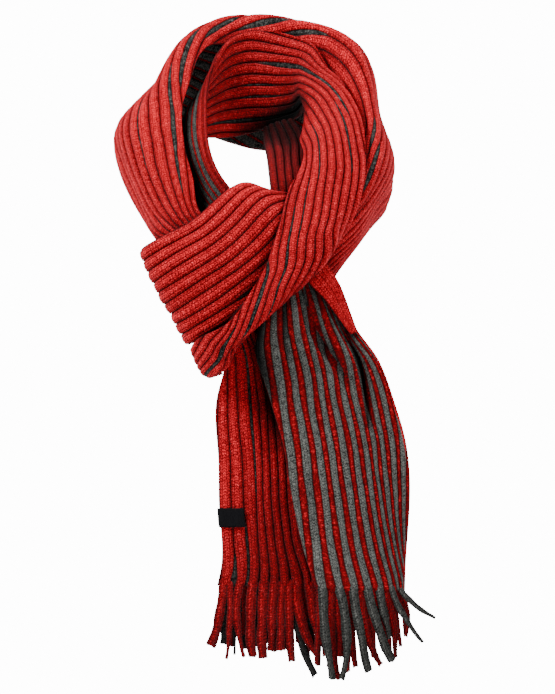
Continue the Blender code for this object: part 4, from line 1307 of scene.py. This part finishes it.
def add_label(context):
    """A plain label folded round the left tail's left edge, with a seam line near each end."""
    middle, drops, run = lay_label(context.scene.scarf_knit)
    aside = unit(np.cross(*across_and_along(middle)))
    rim = np.minimum(run, run[-1] - run)
    high = np.minimum(drops, LABEL_HEIGHT - drops)
    near = np.minimum(rim[None, :], high[:, None])
    thick = LABEL_THICKNESS / 2 * np.clip(0.35 + near / 1.2, 0, 1) ** 0.5
    seam = 0.3 * np.exp(-(((near - SEAM_INSET) / 0.5) ** 2))
    thick = (thick * (1 - seam))[:, :, None]
    sides = (middle + aside * thick, middle - aside * thick)
    points = np.concatenate([side.reshape(-1, 3) for side in sides])
    f = np.arange(near.size).reshape(near.shape)
    b = f + f.size
    faces = quads(f) + quads(b)
    for near_rim, far_rim in ((f[0], b[0]), (f[-1], b[-1]), (f[:, 0], b[:, 0]), (f[:, -1], b[:, -1])):
        faces += bridge(near_rim, far_rim)
    threads = np.stack(np.meshgrid(run / THREAD_STEPS[0], drops / THREAD_STEPS[1]), axis=-1).reshape(-1, 2)
    obj = add_closed("woven_label", points, faces, {}, np.concatenate([threads, threads]))
    obj.data.materials.append(shared_material("woven label", woven_tape, context.scene.scarf_yarn))
    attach(obj, "root")
    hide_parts("label")


def add_floor(context, level):
    """A pale round floor at a height in metres."""
    mesh = bpy.data.meshes.new("floor")
    round_floor = {"cap_ends": True, "segments": 96, "radius": FLOOR_RADIUS}
    edit_mesh(mesh, lambda shape: bmesh.ops.create_circle(shape, **round_floor))
    edit_mesh(mesh, lambda shape: bmesh.ops.translate(shape, verts=shape.verts, vec=(0, 0, level)))
    floor = bpy.data.objects.new("floor", mesh)
    context.collection.objects.link(floor)
    pale = bpy.data.materials.new("pale floor")
    pale.use_nodes = True
    shader = pale.node_tree.nodes["Principled BSDF"].inputs
    shader["Base Color"].default_value = (0.85, 0.85, 0.85, 1)
    shader["Roughness"].default_value = 0.9
    mesh.materials.append(pale)


def add_surround(context, studio):
    """A surround that shows white and lights the cloth less than that."""
    world = bpy.data.worlds.new("pale surround")
    world.use_nodes = True
    surround = world.node_tree.nodes["Background"]
    surround.inputs["Color"].default_value = (1, 1, 1, 1)
    make = Tree(world.node_tree)
    seen = make.add("ShaderNodeLightPath", output="Is Camera Ray")
    make.put(surround, "Strength", seen * (studio.backdrop - studio.surround) + studio.surround)
    context.scene.world = world


def add_lamp(context, name, power, place):
    """A soft lamp that is turned to the scarf and isn't seen itself."""
    light = bpy.data.lights.new(name, "AREA")
    light.energy, light.size = power, LAMP_SIZE
    lamp = bpy.data.objects.new(name, light)
    lamp.location = place
    lamp.rotation_euler = (AIM - Vector(place)).to_track_quat("-Z", "Y").to_euler()
    lamp.visible_camera = False
    context.collection.objects.link(lamp)


def add_camera(context, distance):
    """A camera straight in front, with the lens that shows the view's height from that far."""
    camera = bpy.data.cameras.new("camera")
    camera.lens = camera.sensor_width * distance / VIEW_HEIGHT
    held = bpy.data.objects.new("camera", camera)
    held.location = (AIM.x, AIM.y - distance, AIM.z)
    held.rotation_euler = (math.pi / 2, 0, 0)
    context.collection.objects.link(held)
    context.scene.camera = held


def number_prop(name, description, default, **kind):
    """A number that the panel shows."""
    return bpy.props.FloatProperty(name=name, description=description, default=default, **kind)


def length_prop(name, description, default):
    """A length in metres that the panel shows."""
    return number_prop(name, description, default, unit="LENGTH")


def power_prop(name, description, default):
    """A power in watts that the panel shows."""
    return number_prop(name, description, default, unit="POWER")


def colour_prop(name, description, default):
    """A colour that the panel shows."""
    return bpy.props.FloatVectorProperty(
        name=name, description=description, default=default, subtype="COLOR", size=3, min=0, max=1
    )


class ScarfKnit(bpy.types.PropertyGroup):
    """Sizes of the rib knit."""

    rib_height: length_prop("Rib height", "How far a rib stands out of its channels", 0.0023)
    back_height: length_prop("Reverse rib height", "The same on the other side", 0.0014)
    face_floor: length_prop("Channel floor", "From the middle of the cloth to its channels", 0.0009)
    back_floor: length_prop("Reverse channel floor", "The same on the other side", 0.0004)
    edge_roll: length_prop("Edge roll", "How far the cloth's edge rounds out", 0.0008)
    row_step: length_prop("Row step", "Distance between the rows of points along the cloth", 0.0034)
    stitch_length: length_prop("Stitch length", "Length of one stitch along its column", 0.0029)
    unevenness: number_prop(
        "Unevenness", "How much the ribs' height varies", 0.16, subtype="FACTOR", min=0, max=1
    )


class ScarfYarn(bpy.types.PropertyGroup):
    """Colours of the yarns and the label."""

    # The red yarn lit and shaded: painted light on its lit and its palest fibres, with a painted highlight,
    # and painted shade on its dark fibres.
    red: colour_prop("Red", "Lit fibres of the red yarn", (0.79, 0.017, 0.026))
    red_pale: colour_prop("Pale red", "The palest fibres of the red yarn", (0.97, 0.13, 0.14))
    red_deep: colour_prop("Deep red", "Shaded fibres of the red yarn", (0.20, 0.002, 0.005))
    # The charcoal yarn: pale and dark fibres, with painted light on its stitch tops and painted shade in
    # their nooks.
    charcoal: colour_prop("Pale charcoal", "Pale fibres of the charcoal yarn", (0.150, 0.152, 0.140))
    charcoal_deep: colour_prop("Charcoal", "Dark fibres of the charcoal yarn", (0.005, 0.006, 0.006))
    label: colour_prop("Label", "The label's black", (0.0016, 0.0016, 0.002))


class ScarfStudio(bpy.types.PropertyGroup):
    """Light, floor and camera."""

    key_power: power_prop("Key light", "Power of the light in front, above and on the left", 98)
    fill_power: power_prop("Fill light", "Power of the light in front, above and on the right", 59)
    rear_power: power_prop("Rear lights", "Power of each of the two lights behind the scarf", 36)
    surround: number_prop("Surround", "How strongly the pale surround lights the cloth", 0.15)
    backdrop: number_prop("Backdrop", "How bright the surround looks", 14.0)
    floor_level: length_prop("Floor level", "Height of the floor", -0.70)
    camera_distance: length_prop("Camera distance", "From the camera to the scarf", 22.0)


class SCARF_OT_outer_turn(bpy.types.Operator):
    """Lays the outer turn: left tail, the turn round the shoulders and the wrap of the knot"""

    bl_idname = "scarf.outer_turn"
    bl_label = "Outer turn"

    def execute(self, context):
        return finish_sheets(context, "left_tail", "outer_turn", "knot_wrap")


class SCARF_OT_inner_turn(bpy.types.Operator):
    """Lays the inner turn round the neck, down across the front and round the knot's corner"""

    bl_idname = "scarf.inner_turn"
    bl_label = "Inner turn"

    def execute(self, context):
        return finish_sheets(context, "inner_turn", "neck_side")


class SCARF_OT_right_tail(bpy.types.Operator):
    """Lays the right tail, its reverse to the front, and its turned-over edge"""

    bl_idname = "scarf.right_tail"
    bl_label = "Right tail"

    def execute(self, context):
        return finish_sheets(context, "right_tail", "turned_edge")


class SCARF_OT_fringes(bpy.types.Operator):
    """Hangs both tails' fringes"""

    bl_idname = "scarf.fringes"
    bl_label = "Fringes"

    def execute(self, context):
        for name in FRINGES:
            finish_fringe(context, name)
        return {"FINISHED"}


class SCARF_OT_label(bpy.types.Operator):
    """Folds the plain woven label round the left tail's edge"""

    bl_idname = "scarf.label"
    bl_label = "Label"

    def execute(self, context):
        add_label(context)
        return {"FINISHED"}


class SCARF_OT_studio(bpy.types.Operator):
    """Sets a pale floor, soft light and the camera"""

    bl_idname = "scarf.studio"
    bl_label = "Studio"

    def execute(self, context):
        studio = context.scene.scarf_studio
        add_floor(context, studio.floor_level)
        add_surround(context, studio)
        add_lamp(context, "key", studio.key_power, (-1.3, -0.9, 1.3))
        add_lamp(context, "fill", studio.fill_power, (1.3, -0.9, 1.3))
        add_lamp(context, "rear left", studio.rear_power, (-1.3, 1.2, 0.2))
        add_lamp(context, "rear right", studio.rear_power, (1.3, 1.2, 0.2))
        add_camera(context, studio.camera_distance)
        return {"FINISHED"}


class SCARF_PT_panel(bpy.types.Panel):
    """The scarf's sizes, colours and pieces"""

    bl_label = "Scarf"
    bl_idname = "SCARF_PT_panel"
    bl_space_type = "VIEW_3D"
    bl_region_type = "UI"
    bl_category = "Scarf"

    def draw(self, context):
        for name in GROUPS:
            group = getattr(context.scene, name)
            box = self.layout.box()
            for setting in group.__annotations__:
                box.prop(group, setting)
        for step in STEPS:
            self.layout.operator(step.bl_idname)


# In the order that they run in: the tails' sheets name the fringes and the label that hang on them.
STEPS = (
    SCARF_OT_fringes,
    SCARF_OT_label,
    SCARF_OT_outer_turn,
    SCARF_OT_inner_turn,
    SCARF_OT_right_tail,
    SCARF_OT_studio,
)
GROUPS = {"scarf_knit": ScarfKnit, "scarf_yarn": ScarfYarn, "scarf_studio": ScarfStudio}


def register():
    for cls in (*GROUPS.values(), *STEPS, SCARF_PT_panel):
        bpy.utils.register_class(cls)
    for name, group in GROUPS.items():
        setattr(bpy.types.Scene, name, bpy.props.PointerProperty(type=group))


def unregister():
    for name in GROUPS:
        delattr(bpy.types.Scene, name)
    for cls in (SCARF_PT_panel, *reversed(STEPS), *reversed(GROUPS.values())):
        bpy.utils.unregister_class(cls)


def main():
    register()
    bpy.ops.scarf.fringes()
    bpy.ops.scarf.label()
    bpy.ops.scarf.outer_turn()
    bpy.ops.scarf.inner_turn()
    bpy.ops.scarf.right_tail()
    bpy.ops.scarf.studio()
    bpy.context.view_layer.update()


if __name__ == "__main__":
    main()
